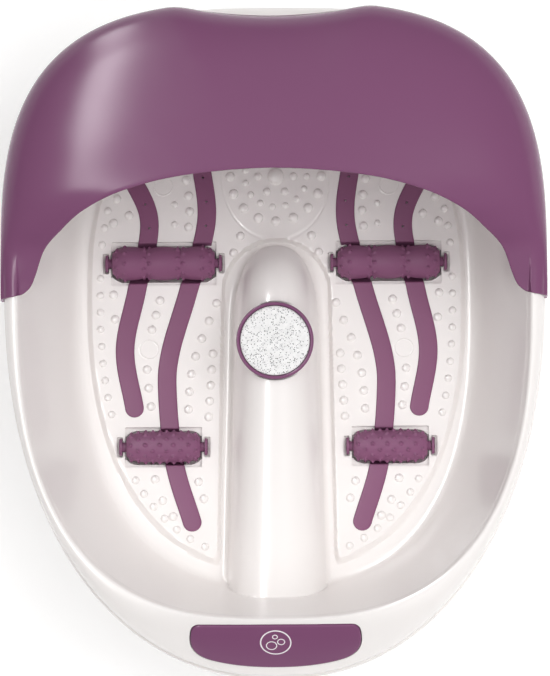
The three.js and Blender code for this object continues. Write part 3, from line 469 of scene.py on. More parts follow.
def spline(points, count):
    """Evenly shared samples of a Catmull-Rom curve through the points."""
    p = np.array(points, float)
    p = np.concatenate([2 * p[:1] - p[1:2], p, 2 * p[-1:] - p[-2:-1]])
    at = np.linspace(0, len(points) - 1 - 1e-9, count)
    i = at.astype(int)
    t = (at - i)[:, None]
    a, b, c, d = p[i], p[i + 1], p[i + 2], p[i + 3]
    return 0.5 * (2 * b + (c - a) * t + (2 * a - 5 * b + 4 * c - d) * t**2 + (3 * b - a - 3 * c + d) * t**3)


def lengths_along(path):
    return np.concatenate([[0], np.cumsum(np.linalg.norm(np.diff(path, axis=0), axis=1))])


def points_at(path, lengths, marks):
    """Points of the path at given lengths along it."""
    return np.stack([np.interp(marks, lengths, path[:, k]) for k in range(path.shape[1])], axis=-1)


def even(path, step):
    """The path sampled again at equal steps of arc length."""
    lengths = lengths_along(path)
    return points_at(path, lengths, np.linspace(0, lengths[-1], max(2, int(lengths[-1] / step))))


def directions(path):
    """Unit directions along a path in plan, and across it."""
    along = np.gradient(path, axis=0)
    along /= np.linalg.norm(along, axis=1)[:, None]
    return along, np.stack([-along[:, 1], along[:, 0]], axis=-1)


def strip_x(place, y):
    """How far from the middle a strip's centreline lies at a station."""
    path = spline(STRIPS[place], 200)[::-1]
    return float(np.interp(y, path[:, 1], path[:, 0]))


# ---------- rollers ----------
class Roller:
    """A roller's place from its CAD axle, and the sizes of its barrel and well."""

    def __init__(self, name, radius, nub, lobes, rows, stations, well_y):
        self.name = name
        self.at = centre_mm(f"roller_axle_{name}_right")
        barrel = size_mm(f"roller_barrel_{name}_right")
        self.half = barrel.x / 2
        self.x = centre_mm(f"roller_barrel_{name}_right").x
        self.radius = radius
        self.nub = nub
        self.lobes = lobes
        self.rows = rows
        self.stations = stations
        self.well_y = well_y

    def place(self, side):
        return SIDES[side] * self.x, self.at.y, self.at.z


ROLLERS = [
    Roller("toe", 10.9, 1.3, 3, 9, (-0.92, -0.76, -0.38, -0.28, 0.28, 0.38, 0.76, 0.92), 28.5),
    Roller("heel", 9.8, 1.5, 1, 8, (-0.88, -0.68, -0.48, -0.28, -0.09, 0.09, 0.28, 0.48, 0.68, 0.88), 26),
]
SADDLE = 1.4
POCKET_X = 4
POCKET_Y = 13.4
SLOT_X = 2.7  # the part of a pocket that goes down round the axle's flange
LEDGE_Z = BED_Z - 3.2  # shallow ledge round the barrel and the flanges, inside the well
BARREL_PLAY = 0.35
END_ROUND = 6  # length of a barrel's rounded end


def groove_radius(roller):
    return roller.radius + roller.nub + BARREL_PLAY


# ---------- tub surface ----------
MOAT_REAR_HALF = 34.8
MOAT_FRONT_HALF = 38.5
MOAT_ARCH_Y = 43
MOAT_FRONT_Y = -160
HUMP_REAR = 73
HUMP_ROUND = 18
HUMP_POWER = 2.3
HUMP_HEEL_Y = -150  # station of the heel sizes below
HUMP_HEEL = (31.5, 34)  # half width, and height over the trough
HUMP_TOE = (27.3, 60.6)  # the same where the hump's end starts to round off
HUMP_FILLET = 5


def moat_half(y):
    share = np.clip((MOAT_ARCH_Y - y) / (MOAT_ARCH_Y - MOAT_FRONT_Y), 0, 1)
    return MOAT_REAR_HALF + (MOAT_FRONT_HALF - MOAT_REAR_HALF) * share


def bed_height(x, y):
    """Height of the foot beds over the trough, with rounded edges."""
    angle = np.arctan2(y - WIDEST_Y, x)
    from_outline = BED.radius(angle) - np.hypot(x, y - WIDEST_Y)
    beyond_arch = np.hypot(x, np.maximum(y - MOAT_ARCH_Y, 0)) - MOAT_REAR_HALF
    from_moat = np.where(y > MOAT_ARCH_Y, beyond_arch, np.abs(x) - moat_half(y))
    inside = smooth_min(from_outline, 2 * from_moat, 7)
    return (BED_Z - TROUGH_Z) * smooth_step(inside, -2.8, 1.4)


def hump_height(x, y):
    """Height of the middle hump over the trough, with a fillet at its foot."""
    share = (np.minimum(y, HUMP_ROUND) - HUMP_HEEL_Y) / (HUMP_ROUND - HUMP_HEEL_Y)
    half, top = (heel + (toe - heel) * share for heel, toe in zip(HUMP_HEEL, HUMP_TOE))
    beyond = np.maximum(y - HUMP_ROUND, 0) / (HUMP_REAR - HUMP_ROUND)
    reach = (np.abs(x) / half) ** HUMP_POWER + beyond**HUMP_POWER
    dome = top * np.maximum(1 - reach, 0) ** (1 / HUMP_POWER)
    outside = (np.maximum(reach, 1) ** (1 / HUMP_POWER) - 1) * half
    toe = HUMP_FILLET - np.sqrt(HUMP_FILLET**2 - np.clip(HUMP_FILLET - outside, 0, HUMP_FILLET) ** 2)
    return np.maximum(dome, toe)


MEDALLION = {"y": 119, "half_x": 35, "half_y": 42, "line": 1.0, "deep": 0.35}


def medallion_groove(x, y):
    """Shallow engraved ellipse round the nubs at the middle of the toe end."""
    m = MEDALLION
    reach = np.hypot(x / m["half_x"], (y - m["y"]) / m["half_y"])
    from_line = np.abs(reach - 1) * m["half_x"]
    return m["deep"] * smooth_step(-from_line, -m["line"], 0)


def floor_z(x, y):
    raised = smooth_max(bed_height(x, y), hump_height(x, y), 1.5)
    return TROUGH_Z + raised - 0.4 - medallion_groove(x, y)


def tub_rings():
    """Rings of the tub from the middle of its floor, up the wall, over the rim and down the skirt."""
    angle = around(TUB_ANGLES)
    foot, crest, outer = FOOT.radius(angle), CREST.radius(angle), OUTER.radius(angle)
    top, edge = crest_z(angle), edge_z(angle)
    low = np.full_like(angle, TROUGH_Z)
    middle = np.linspace(0.012, 1, 118)[:-1, None] * (foot - 9)
    wall = sections(
        (foot - 9, low),
        (foot - 1, low),
        (foot + 3.5, low + 4),
        (foot * 0.72 + crest * 0.28, low + 22),
        (crest - 4, top - 12),
        (crest - 3, top - 5),
        (crest - 1.6, top - 0.8),
        (crest, top),
    )
    wall = softened(wall, 4)
    shares = np.linspace(0, 1, 30)[1:-1, None]
    band = np.stack([crest + (outer - crest) * shares, band_z(angle, shares)], axis=-1)
    skirt_low = skirt_z(angle)
    skirt = sections(
        (outer, edge),
        (outer + 0.05, edge - 3),
        (outer, skirt_low + 1),
        (outer - 0.4, skirt_low),
        (outer - WALL, skirt_low),
        (outer - WALL, edge - 3),
    )
    floor = np.stack([middle, np.broadcast_to(low, middle.shape)], axis=-1)
    return angle, np.concatenate([floor, wall, band, softened(skirt, 2)]), len(floor) + len(wall)


HOLLOW_WALL = 12.5  # from the floor's face to the underside, deep enough for wells and socket
HOLLOW_SPREAD = 1.22  # how much narrower than the hump the hollow below it is


def underside_rings(angle):
    """The tub's back face, from the skirt in to the middle, clear of the hump's hollow."""
    foot, crest, outer = FOOT.radius(angle), CREST.radius(angle), OUTER.radius(angle)
    top, low = crest_z(angle), np.full_like(angle, TROUGH_Z)
    back = [
        (crest + (outer - crest) * 0.8 - 1, band_z(angle, 0.8) - 3),
        (crest + (outer - crest) * 0.35 - 0.6, band_z(angle, 0.35) - 3.2),
        (crest - 0.5, top - 8),
        (foot + 3.5 + WALL, low + 6 - WALL),
        (foot + WALL, low - WALL),
    ]
    inner = [(foot * share, low - HOLLOW_WALL) for share in np.linspace(0.9, 0.04, 24)]
    return sections(*back, *inner), len(back)


def tub_base():
    angle, rings, raised_rows = tub_rings()
    top = plan(rings[..., 0], angle, rings[..., 1])
    over = top[:raised_rows]
    over[..., 2] = np.maximum(over[..., 2], floor_z(over[..., 0], over[..., 1]))
    under, flat_from = underside_rings(angle)
    back = plan(under[..., 0], angle, under[..., 1])
    flat = back[flat_from + 1 :]
    hollow = TROUGH_Z + hump_height(flat[..., 0] * HOLLOW_SPREAD, flat[..., 1]) - HOLLOW_WALL
    flat[..., 2] = np.maximum(flat[..., 2], hollow)
    return np.concatenate([top, back])


# ---------- nubs on the foot beds ----------
NUB_R = 2.75
SMALL_NUB_R = 2.0
MARK_R = 6
MARK_PLACES = ((73, 113), (82, 6))
NUB_BASE = BED_Z - 0.4


def nub_rows():
    """Nubs of the right foot bed and the middle, as (x, y, radius), in rows that follow the strips."""
    nubs = []
    for y in np.linspace(97, -36, 13):
        if abs(y - ROLLERS[0].at.y) > 8:
            nubs.append((bed_edge_x(y) - 6.5, y, NUB_R * 0.85))
    for y in (38, 28.5, 19, -7, -19, -31):
        nubs.append(((strip_x("inner", y) + strip_x("outer", y)) / 2, y, NUB_R))
    for y in np.linspace(36, -33, 7):
        nubs.append((strip_x("inner", y) - 13 - (y + 33) * 0.11, y, NUB_R))
    for y in np.linspace(3, -38, 5):
        nubs.append((float(moat_half(y)) + 7.5 - (y + 38) * 0.05, y, NUB_R))
    for y in np.linspace(117, 86, 4):
        nubs.append((strip_x("inner", y) + 11, y, NUB_R))
    for y in (101, 88):
        nubs.append((65.5, y, SMALL_NUB_R))
    for y in (-80, -91):
        nubs.append((strip_x("inner", y) - 12.5, y, NUB_R))
    for turn in np.linspace(-52.5, -74, 7):
        nubs.append((*bed_edge_point(math.radians(turn), 6), NUB_R * 0.9))
    for turn, inset in ((-56.4, 18), (-60.9, 13.5), (-64.8, 11)):
        nubs.append((*bed_edge_point(math.radians(turn), inset), NUB_R))
    nubs += [(103, 105, NUB_R), (95, 94, NUB_R), (105, 89, NUB_R), (105, 42, NUB_R), (104, 26, NUB_R)]
    nubs += [(23, 80, NUB_R), (27.5, 69, NUB_R)]
    return nubs


def bed_edge_point(angle, inset):
    r = float(BED.radius(np.array(angle))) - inset
    return r * math.cos(angle), WIDEST_Y + r * math.sin(angle)


def bed_edge_x(y):
    half, rear, front = BED.sizes
    power = BED.powers[0] if y > WIDEST_Y else BED.powers[1]
    share = abs(y - WIDEST_Y) / (rear if y > WIDEST_Y else front)
    return half * (1 - share**power) ** (1 / power)


def medallion_nubs():
    """Rings of nubs round one large one."""
    nubs = [(0, MEDALLION["y"], 5.2)]
    for ring, count, r in ((11.5, 6, NUB_R * 0.9), (20, 15, SMALL_NUB_R), (29.5, 16, NUB_R * 1.1)):
        for k in range(count):
            turn = 2 * math.pi * k / count
            nubs.append((ring * math.cos(turn), MEDALLION["y"] + ring * math.sin(turn), r))
    return nubs


def nub_body(x, y, r):
    """A low dome with a small flare at its foot."""
    high = 0.72 * r
    steps = [(r * 1.25, -1.4), (r * 1.18, -0.38), (r * 1.05, 0.02)]
    steps += [(r * math.cos(t), 0.25 + high * math.sin(t)) for t in np.linspace(0.12, math.pi / 2 * 0.96, 7)]
    return moved(lathe(steps, 24), Matrix.Translation((x, y, NUB_BASE)))


def mark_body(x, y):
    """Raised flat ring of an ejector mark."""
    inside, outside = MARK_R - 0.5, MARK_R + 0.5
    steps = [(inside, -1), (outside, -1), (outside, 0), (MARK_R, 0.28), (inside, 0)]
    return moved(hoop_body(lathe_rings(steps, 48)), Matrix.Translation((x, y, NUB_BASE)))


def bed_nubs():
    bodies = [nub_body(sign * x, y, r) for sign in SIDES.values() for x, y, r in nub_rows()]
    bodies += [nub_body(*nub) for nub in medallion_nubs()]
    bodies += [mark_body(sign * x, y) for sign in SIDES.values() for x, y in MARK_PLACES]
    return bodies


# ---------- cuts in the tub ----------
def well_cuts(roller, sign):
    """Three sets of cuts: the ledges, the grooves for barrel and flanges, and the open saddles."""
    x, y = sign * roller.x, roller.at.y
    half, top = roller.half + 1, BED_Z + 6
    reach = half + SADDLE + POCKET_X
    low = roller.at.z - DISC_R - GAP
    ledges = [prism(rounded_rectangle(2 * half, roller.well_y, 0.8, x, y), LEDGE_Z, top)]
    grooves = [barrel_groove(roller, x, y, half, top)]
    for end in (-1, 1):
        wall = x + end * (half + SADDLE)
        pocket = rounded_rectangle(POCKET_X, POCKET_Y, 1, wall + end * POCKET_X / 2, y)
        slot = rounded_rectangle(SLOT_X, 2 * (DISC_R + GAP), 0.6, wall + end * SLOT_X / 2, y)
        ledges.append(prism(pocket, LEDGE_Z, top))
        grooves.append(prism(slot, low, top))
    saddles = [lengthways_bar(x, y, roller.at.z, AXLE_R + GAP, reach - 0.5, top)]
    return ledges, grooves, saddles


def barrel_groove(roller, x, y, half, top):
    """Cut that follows the barrel: half-round below, straight above, drawn in at its round ends."""
    stations = half * np.sin(np.linspace(-math.pi / 2, math.pi / 2, 61))
    near_end = np.clip(np.abs(stations), roller.half - END_ROUND, roller.half)
    drawn_in = barrel_radius(roller, roller.half - END_ROUND) - barrel_radius(roller, near_end)
    r = (groove_radius(roller) - drawn_in)[:, None]
    turns = np.linspace(math.pi, 2 * math.pi, 41)
    across = np.concatenate([r * np.cos(turns), r, -r], axis=1)
    up = np.concatenate([roller.at.z + r * np.sin(turns), top + 0 * r, top + 0 * r], axis=1)
    return rings_body(np.stack(np.broadcast_arrays(x + stations[:, None], y + across, up), axis=-1))


def lengthways_bar(x, y, z, r, half, top):
    """Cut along X with a half-round bottom and straight sides."""
    turns = np.linspace(math.pi, 2 * math.pi, 41)
    section = [(r * math.cos(t), z + r * math.sin(t)) for t in turns] + [(r, top), (-r, top)]
    points, faces = prism(section, -half, half)
    return np.c_[x + points[:, 2], y + points[:, 0], points[:, 1]], faces


def channel_cut(points, sign):
    half = STRIP_WIDTH / 2 + GAP
    path = even(even(spline(points, 400) * (sign, 1), CHANNEL_STEP), CHANNEL_STEP)
    along, across = directions(path)
    turns = np.linspace(math.pi / 2, -math.pi / 2, 12)[1:-1]
    heel = [path[-1] + half * (math.cos(t) * along[-1] + math.sin(t) * across[-1]) for t in turns]
    toe = [path[0] - half * (math.cos(t) * along[0] + math.sin(t) * across[0]) for t in turns]
    outline = [*(path + across * half), *heel, *(path - across * half)[::-1], *toe]
    return prism(outline, STRIP_BASE - 0.3, BED_Z + 3)


def seat_matrix():
    return Matrix.Translation(SEAT) @ Matrix.Rotation(SEAT_TILT, 4, "X")


# ---------- button in the fascia ----------
FRONT = -math.pi / 2
FASCIA_TOP = Vector((0, WIDEST_Y - CREST.sizes[2], float(crest_z(np.array(FRONT)))))
FASCIA_LOW = Vector((0, WIDEST_Y - OUTER.sizes[2], float(edge_z(np.array(FRONT)))))
UP_SLOPE = (FASCIA_TOP - FASCIA_LOW).normalized()
OUTWARD = Vector((1, 0, 0)).cross(UP_SLOPE)
BUTTON_AT = Vector((0, (FASCIA_TOP.y + FASCIA_LOW.y) / 2, float(band_z(np.array(FRONT), 0.5))))
BUTTON_TURN = Matrix((Vector((1, 0, 0)), UP_SLOPE, OUTWARD)).transposed()
BUTTON_PROUD = 1
BUTTON_DEPTH = 5
MARK_RAISE = 4.6  # the printed mark sits this far above the middle of the button


def bezier2(start, control, end, count=10):
    t = np.linspace(0, 1, count, endpoint=False)[:, None]
    a, b, c = map(np.array, (start, control, end))
    return (1 - t) ** 2 * a + 2 * t * (1 - t) * b + t**2 * c


def button_outline(wider=0.0):
    top, side, low = 17.6 + wider, 54 + wider, -17.1 - wider
    corners = [
        ((-side + 7, top - 0.8), (0, top + 0.8), (side - 7, top - 0.8)),
        ((side - 7, top - 0.8), (side - 2.2, top - 1.2), (side - 1.3, top - 6.5)),
        ((side - 1.3, top - 6.5), (side + 2, low + 10), (side - 14, low + 5)),
        ((side - 14, low + 5), (side - 30, low), (0, low)),
        ((0, low), (-side + 30, low), (-side + 14, low + 5)),
        ((-side + 14, low + 5), (-side - 2, low + 10), (-side + 1.3, top - 6.5)),
        ((-side + 1.3, top - 6.5), (-side + 2.2, top - 1.2), (-side + 7, top - 0.8)),
    ]
    return np.concatenate([bezier2(*corner) for corner in corners])


def fascia_height(points):
    """Height of the fascia over the button's plane at points of that plane, by bisection."""
    low, high = np.full(len(points), -12.0), np.full(len(points), 6.0)
    for _ in range(30):
        middle = (low + high) / 2
        y = BUTTON_AT.y + points[:, 1] * UP_SLOPE.y + middle * OUTWARD.y
        z = BUTTON_AT.z + points[:, 1] * UP_SLOPE.z + middle * OUTWARD.z
        angle = np.arctan2(y - WIDEST_Y, points[:, 0])
        s = (np.hypot(points[:, 0], y - WIDEST_Y) - CREST.radius(angle)) / band_width(angle)
        above = z > band_z(angle, np.clip(s, 0, 1))
        high = np.where(above, middle, high)
        low = np.where(above, low, middle)
    return low


def on_button(points, height):
    """Points given in the button's own plane and height, in the part's frame."""
    return np.c_[points, height] @ np.array(BUTTON_TURN).T + np.array(BUTTON_AT)


def button_opening():
    points, faces = prism(button_outline(0.5), -8, 12)
    return on_button(points[:, :2], points[:, 2]), faces


def build_tub():
    tub = make("tub_shell", rings_body(tub_base()), "base", WHITE, ["tub"])
    carve(tub, "UNION", bed_nubs())
    wells = [well_cuts(roller, sign) for sign in SIDES.values() for roller in ROLLERS]
    for cuts in zip(*wells):
        carve(tub, "DIFFERENCE", [body for bodies in cuts for body in bodies])
    channels = [channel_cut(points, sign) for sign in SIDES.values() for points in STRIPS.values()]
    carve(tub, "DIFFERENCE", channels)
    seat = moved(lathe([(PUMICE_R + 0.7, 0), (PUMICE_R + 0.7, 30)], 96), seat_matrix())
    case = moved(lathe([(SOCKET_R + 2.2, -SOCKET_DEPTH - 2), (SOCKET_R + 2.2, 0)]), seat_matrix())
    socket = moved(lathe([(SOCKET_R, -SOCKET_DEPTH), (SOCKET_R, 4)]), seat_matrix())
    carve(tub, "UNION", [case])
    for opening in (seat, socket, button_opening()):
        carve(tub, "DIFFERENCE", [opening])
    crisp(tub, 40)


# ---------- housing ----------
def housing_rings(angle):
    outer, skirt = OUTER.radius(angle), skirt_z(angle)
    flat = np.full_like(angle, BASE_Z)
    outside = sections(
        (outer - 44, flat),
        (outer - 36, flat),
        (outer - 29, flat),
        (outer - 24, flat + 4),
        (outer - 18, flat + 18),
        (outer - 7, flat + 54),
        (outer + 0.3, skirt - 12),
        (outer + 1.4, skirt - 6),
        (outer + 1.4, skirt - 1.2),
        (outer + 0.6, skirt - GAP),
        (outer - WALL - GAP, skirt - GAP),
    )
    inside = sections(
        (outer - WALL - GAP, skirt + 5),
        (outer - WALL - GAP - 2, skirt + 5),
        (outer - WALL - 2.2, skirt - 12),
        (outer - 7 - WALL - 1, flat + 54),
        (outer - 18 - WALL - 1, flat + 18),
        (outer - 24 - WALL - 2, flat + 5),
        (outer - 30 - WALL, flat + WALL),
    )
    return np.concatenate([softened(outside, 3), inside])


def intake_slots():
    bodies = []
    for k in range(-2, 3):
        x = 9 * k
        half = math.sqrt(24**2 - x**2)
        bodies.append(prism(rounded_rectangle(3, 2 * half, 1.4, x, 0), BASE_Z - 2, BASE_Z + WALL + 2))
    return bodies


GLAND_PROUD = 15  # how far the gland reaches out of the housing


def gland_frame():
    """Frame at the gland's face on the housing, whose Z axis points to the toe end."""
    at = centre_mm("cable_gland")
    face_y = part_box("cable_gland")[1][1] / MM - GLAND_PROUD
    return Matrix.Translation((at.x, face_y, at.z)) @ Matrix.Rotation(-math.pi / 2, 4, "X")


def build_housing():
    angle = around(HOUSING_ANGLES)
    rings = housing_rings(angle)
    shell = rings_body(plan(rings[..., 0], angle, rings[..., 1]))
    housing = make("housing_shell", shell, "base", WHITE, ["lower_housing"])
    boss = moved(lathe([(10.5, -12), (10.5, -0.8), (9.7, 0)]), gland_frame())
    hole = moved(lathe([(5.4, -25), (5.4, 10)], 48), gland_frame())
    screws = [centre_mm(node).xy for node in screw_nodes()]
    feet = [centre_mm(node).xy for node in foot_nodes()]
    cups = [upright(*at, 7, BASE_Z + 0.6, BASE_Z + 8.2, 32) for at in screws]
    rooms = [upright(*at, 4.6, BASE_Z - 2, BASE_Z + 5.7, 40) for at in screws]
    shafts = [upright(*at, 2.1, BASE_Z + 1, BASE_Z + 12, 20) for at in screws]
    stems = [upright(*at, 3.5, BASE_Z - 2, BASE_Z + 6, 40) for at in feet]
    carve(housing, "UNION", [boss, *cups])
    carve(housing, "DIFFERENCE", [hole, *rooms, *stems, *intake_slots()])
    carve(housing, "DIFFERENCE", shafts)
    crisp(housing, 35)


def foot_nodes():
    return [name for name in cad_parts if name.startswith("foot_")]


def screw_nodes():
    return [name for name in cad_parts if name.startswith("housing_screw_")]


def make_lathe(name, profile, matrix, body, material, nodes, sides=64, soften=2):
    profile = softened(np.array(profile, float), soften)
    piece = make(name, moved(lathe(profile.tolist(), sides), matrix), body, material, nodes)
    crisp(piece, 50)
    return piece


def build_small_parts():
    foot = [(0.2, 0), (8.4, 0), (10, 0.6), (10, 3.6), (9.6, 3.6)]
    foot += [(3, 3.6), (3, 7), (4.4, 7.2), (2.4, 10.5), (0.2, 10.5)]
    for node in foot_nodes():
        place = Matrix.Translation((*centre_mm(node).xy, 0))
        make_lathe(f"rubber_{node}", foot, place, "base", RUBBER, [node], 48)
    screw = [(0.2, 0), (2.8, 0), (3.7, 1), (3.7, 2.4), (1.6, 2.5), (1.6, 17), (0.2, 19.6)]
    for node in screw_nodes():
        at, low = centre_mm(node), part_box(node)[0][2] / MM
        place = Matrix.Translation((at.x, at.y, low))
        piece = make_lathe(f"fixing_{node}", screw, place, "base", STEEL, [node], 32, 1)
        for width, depth in ((4, 0.9), (0.9, 4)):
            bar = prism(rounded_rectangle(width, depth, 0.3, at.x, at.y), low - 1, low + 1.3)
            carve(piece, "DIFFERENCE", [bar])
        crisp(piece, 40)
    build_gland()


def build_gland():
    """Strain relief with five flexible ribs and an open bore."""
    profile = [(5, -14), (5, GAP), (7.6, GAP), (7.6, 2.6), (6.6, 3.2)]
    for k in range(5):
        z = 4.2 + 2.2 * k
        profile += [(5.4 - 0.15 * k, z), (4.5, z + 0.5), (4.5, z + 1.3), (5.3 - 0.15 * k, z + 1.8)]
    profile += [(4.6, GLAND_PROUD), (3.6, GLAND_PROUD), (3.6, -14)]
    shape = moved(hoop_body(lathe_rings(profile, 56)), gland_frame())
    gland = make("strain_relief", shape, "base", RUBBER, ["cable_gland"])
    crisp(gland, 40)


# ---------- splash guard ----------
OPENING_HALF = [
    (0, 96.8, 190),
    (54.5, 92.8, 188.5),
    (92, 84.5, 184),
    (117, 74, 175),
    (133, 62.5, 162),
    (143, 53, 151),
    (149, 38, 143.5),
    (152.5, 31, 141),
    (158, 26.5, 140.5),
    (163, 25, 140),
]
HOOD_OUT = OUTER.grown(GAP + HOOD_WALL)
NOTCH_Y = 201.3
NOTCH_R = 248
DOME_POWER = 2.6
FLANGE = 9
HOOD_STATIONS = 320
HOOD_COLUMNS = 72
FLANGE_ROWS = 8
END_POINTS = 7  # of a rounded edge, with both its ends


def hood_radius(angle):
    full = HOOD_OUT.radius(angle)
    centre = NOTCH_Y + NOTCH_R - WIDEST_Y
    across = np.minimum(np.abs(centre * np.cos(angle)), NOTCH_R)
    notch = centre * np.sin(angle) - np.sqrt(NOTCH_R**2 - across**2)
    return np.where(np.sin(angle) > 0.9, smooth_min(full, notch, 3), full)


def opening_edge():
    right = np.array(OPENING_HALF, float)
    left = right[:0:-1] * (-1, 1, 1)
    path = even(spline(np.concatenate([left, right]), 1200), 0.5)
    return even(path, np.linalg.norm(np.diff(path, axis=0), axis=1).sum() / HOOD_STATIONS)


def hood_section(edge):
    """Outer face of the guard in one upright plane, as radius and height from the flange to the opening."""
    angle = np.arctan2(edge[1] - WIDEST_Y, edge[0])
    outer = float(hood_radius(np.array(angle)))
    inner = math.hypot(edge[0], edge[1] - WIDEST_Y) + HOOD_WALL / 2
    lift = GAP + HOOD_WALL + 0.15
    low = float(edge_z(angle)) + lift
    share = np.linspace(0, 1, HOOD_COLUMNS) ** 2.2
    r = outer + (inner - outer) * share
    dome = low + (edge[2] - low) * (1 - (1 - share) ** DOME_POWER) ** (1 / DOME_POWER)
    s = (r - float(CREST.radius(angle))) / float(band_width(angle))
    rim = band_z(angle, np.clip(s, 0, 1)) + lift - 40 * np.maximum(-0.25 - s, 0)
    z = smooth_max(dome, rim, 4) - 0.3
    notch_ends = sorted((float(CREST.radius(angle)) + 1.5, float(OUTER.radius(angle))))
    notch = smooth_step(np.array(outer), *notch_ends)
    bottom = low - 1.5 - (FLANGE - 1.5) * float(notch)
    down = np.linspace(bottom, z[0], FLANGE_ROWS + 1)[:-1]
    return angle, np.concatenate([np.full(FLANGE_ROWS, outer), r]), np.concatenate([down, z])


def section_loop(edge):
    """Closed loop of one section: the outer face, a rounded lip, the inner face and the flange's edge."""
    angle, r, z = hood_section(edge)
    face = np.stack([r, z], axis=-1)
    slope, inward = directions(face)
    back = face + inward * HOOD_WALL
    lip = round_end(face[-1], back[-1], slope[-1])
    hem = round_end(back[0], face[0], -slope[0])
    loop = np.concatenate([face, lip, back[::-1], hem])
    return plan(loop[:, 0], angle, loop[:, 1])


def round_end(start, end, outward):
    """Half circle from one point to another that bulges outward."""
    middle, arm = (start + end) / 2, (start - end) / 2
    reach = np.linalg.norm(arm) * outward
    turns = np.linspace(0, math.pi, END_POINTS)[1:-1]
    return np.array([middle + arm * math.cos(t) + reach * math.sin(t) for t in turns])


def build_hood():
    loops = np.array([section_loop(edge) for edge in opening_edge()])
    rows, columns = loops.shape[:2]
    faces = grid_faces(rows, columns).tolist()
    wide = HOOD_COLUMNS + FLANGE_ROWS
    last_back = 2 * wide + END_POINTS - 3
    for row in (0, rows - 1):
        start = row * columns
        for k in range(wide - 1):
            faces.append([start + k, start + k + 1, start + last_back - k - 1, start + last_back - k])
        faces.append([start + wide - 1 + k for k in range(END_POINTS)])
        faces.append([start + (last_back + k) % columns for k in range(END_POINTS)])
    shape = loops.reshape(-1, 3), faces
    guard = make("guard_shell", shape, "splash_guard", PURPLE, ["splash_guard"])
    crisp(guard, 45)


# ---------- strips and rollers ----------
def strip_depth(y):
    """How far a strip's top runs below its level on the bed, where it crosses the wells."""
    depth = np.zeros_like(y)
    for roller in ROLLERS:
        away = np.abs(y - roller.at.y)
        near = roller.well_y / 2 - 1.6
        on_ledge = smooth_step(-away, -near - 0.8, -near + 0.8) * (STRIP_TOP - LEDGE_Z - STRIP_SKIN)
        groove = roller.at.z - np.sqrt(np.maximum(groove_radius(roller) ** 2 - away**2, 0))
        in_groove = np.where(away < groove_radius(roller), STRIP_TOP - groove - STRIP_SKIN, 0)
        depth = np.maximum(depth, smooth_max(on_ledge, in_groove, 0.4) * (away < near + 1))
    return depth


def build_strip(place, side):
    sign = SIDES[side]
    half = STRIP_WIDTH / 2 + GAP - SEAM
    fine = even(spline(STRIPS[place], 4000) * (sign, 1), 0.35)
    along, across = directions(fine)
    # round ends run past the centreline's ends
    caps = np.sin(np.linspace(math.pi / 2, 0.02, 12)) * half
    toe = fine[0] - caps[:, None] * along[0]
    heel = fine[-1] + caps[::-1, None] * along[-1]
    path = np.concatenate([toe, fine, heel])
    sideways = np.concatenate([np.repeat(across[:1], 12, 0), across, np.repeat(across[-1:], 12, 0)])
    narrow = np.sqrt(np.maximum(half**2 - caps**2, 0.02))
    width = np.concatenate([narrow, np.full(len(fine), half), narrow[::-1]])
    edge = 0.9
    share = np.sin(np.linspace(-math.pi / 2, math.pi / 2, 17))
    off = share[None, :] * width[:, None]
    flat = path[:, None, :] + off[..., None] * sideways[:, None, :]
    depth = strip_depth(flat[..., 1])
    from_edge = np.clip(width[:, None] - np.abs(off), 0, edge)
    crown = 0.25 * (1 - share**2)[None, :] * (width / half)[:, None]
    top = STRIP_TOP - 0.35 - edge + np.sqrt(np.maximum(edge**2 - (edge - from_edge) ** 2, 0)) + crown
    base = np.where(depth > 0.3, STRIP_TOP - depth - STRIP_SKIN, STRIP_BASE)
    top = np.maximum(top - depth, base + 0.15)
    upper = np.dstack([flat, top])
    lower = upper.copy()
    lower[..., 2] = base
    loops = np.concatenate([upper, lower[:, ::-1]], axis=1)
    name = f"air_strip_{place}_{side}"
    strip = make(f"soft_{name}", rings_body(loops), "base", STRIP, [name])
    lengths = lengths_along(fine)
    spots = points_at(fine, lengths, np.arange(HOLE_PITCH * 0.6, lengths[-1], HOLE_PITCH))
    toe_end = ROLLERS[0].at.y + ROLLERS[0].well_y / 2 + 3
    holes = [upright(x, y, 0.75, STRIP_BASE - 2, STRIP_TOP + 2, 16) for x, y in spots if y > toe_end]
    carve(strip, "DIFFERENCE", holes)
    crisp(strip, 50)


def barrel_radius(roller, x):
    if roller.lobes == 1:
        return roller.radius * (1 - (np.abs(x) / (roller.half + 0.8)) ** 4) ** 0.25
    lobe = 2 * roller.half / roller.lobes
    middle = lobe * np.round(np.clip(x / lobe, -1, 1))
    off = np.abs(x - middle) / (lobe * 0.59)
    is_end = (np.abs(x) > lobe) & (np.sign(x - middle) == np.sign(x))
    return roller.radius * np.sqrt(1 - np.where(is_end, 0.86, 0.42) * off**2)


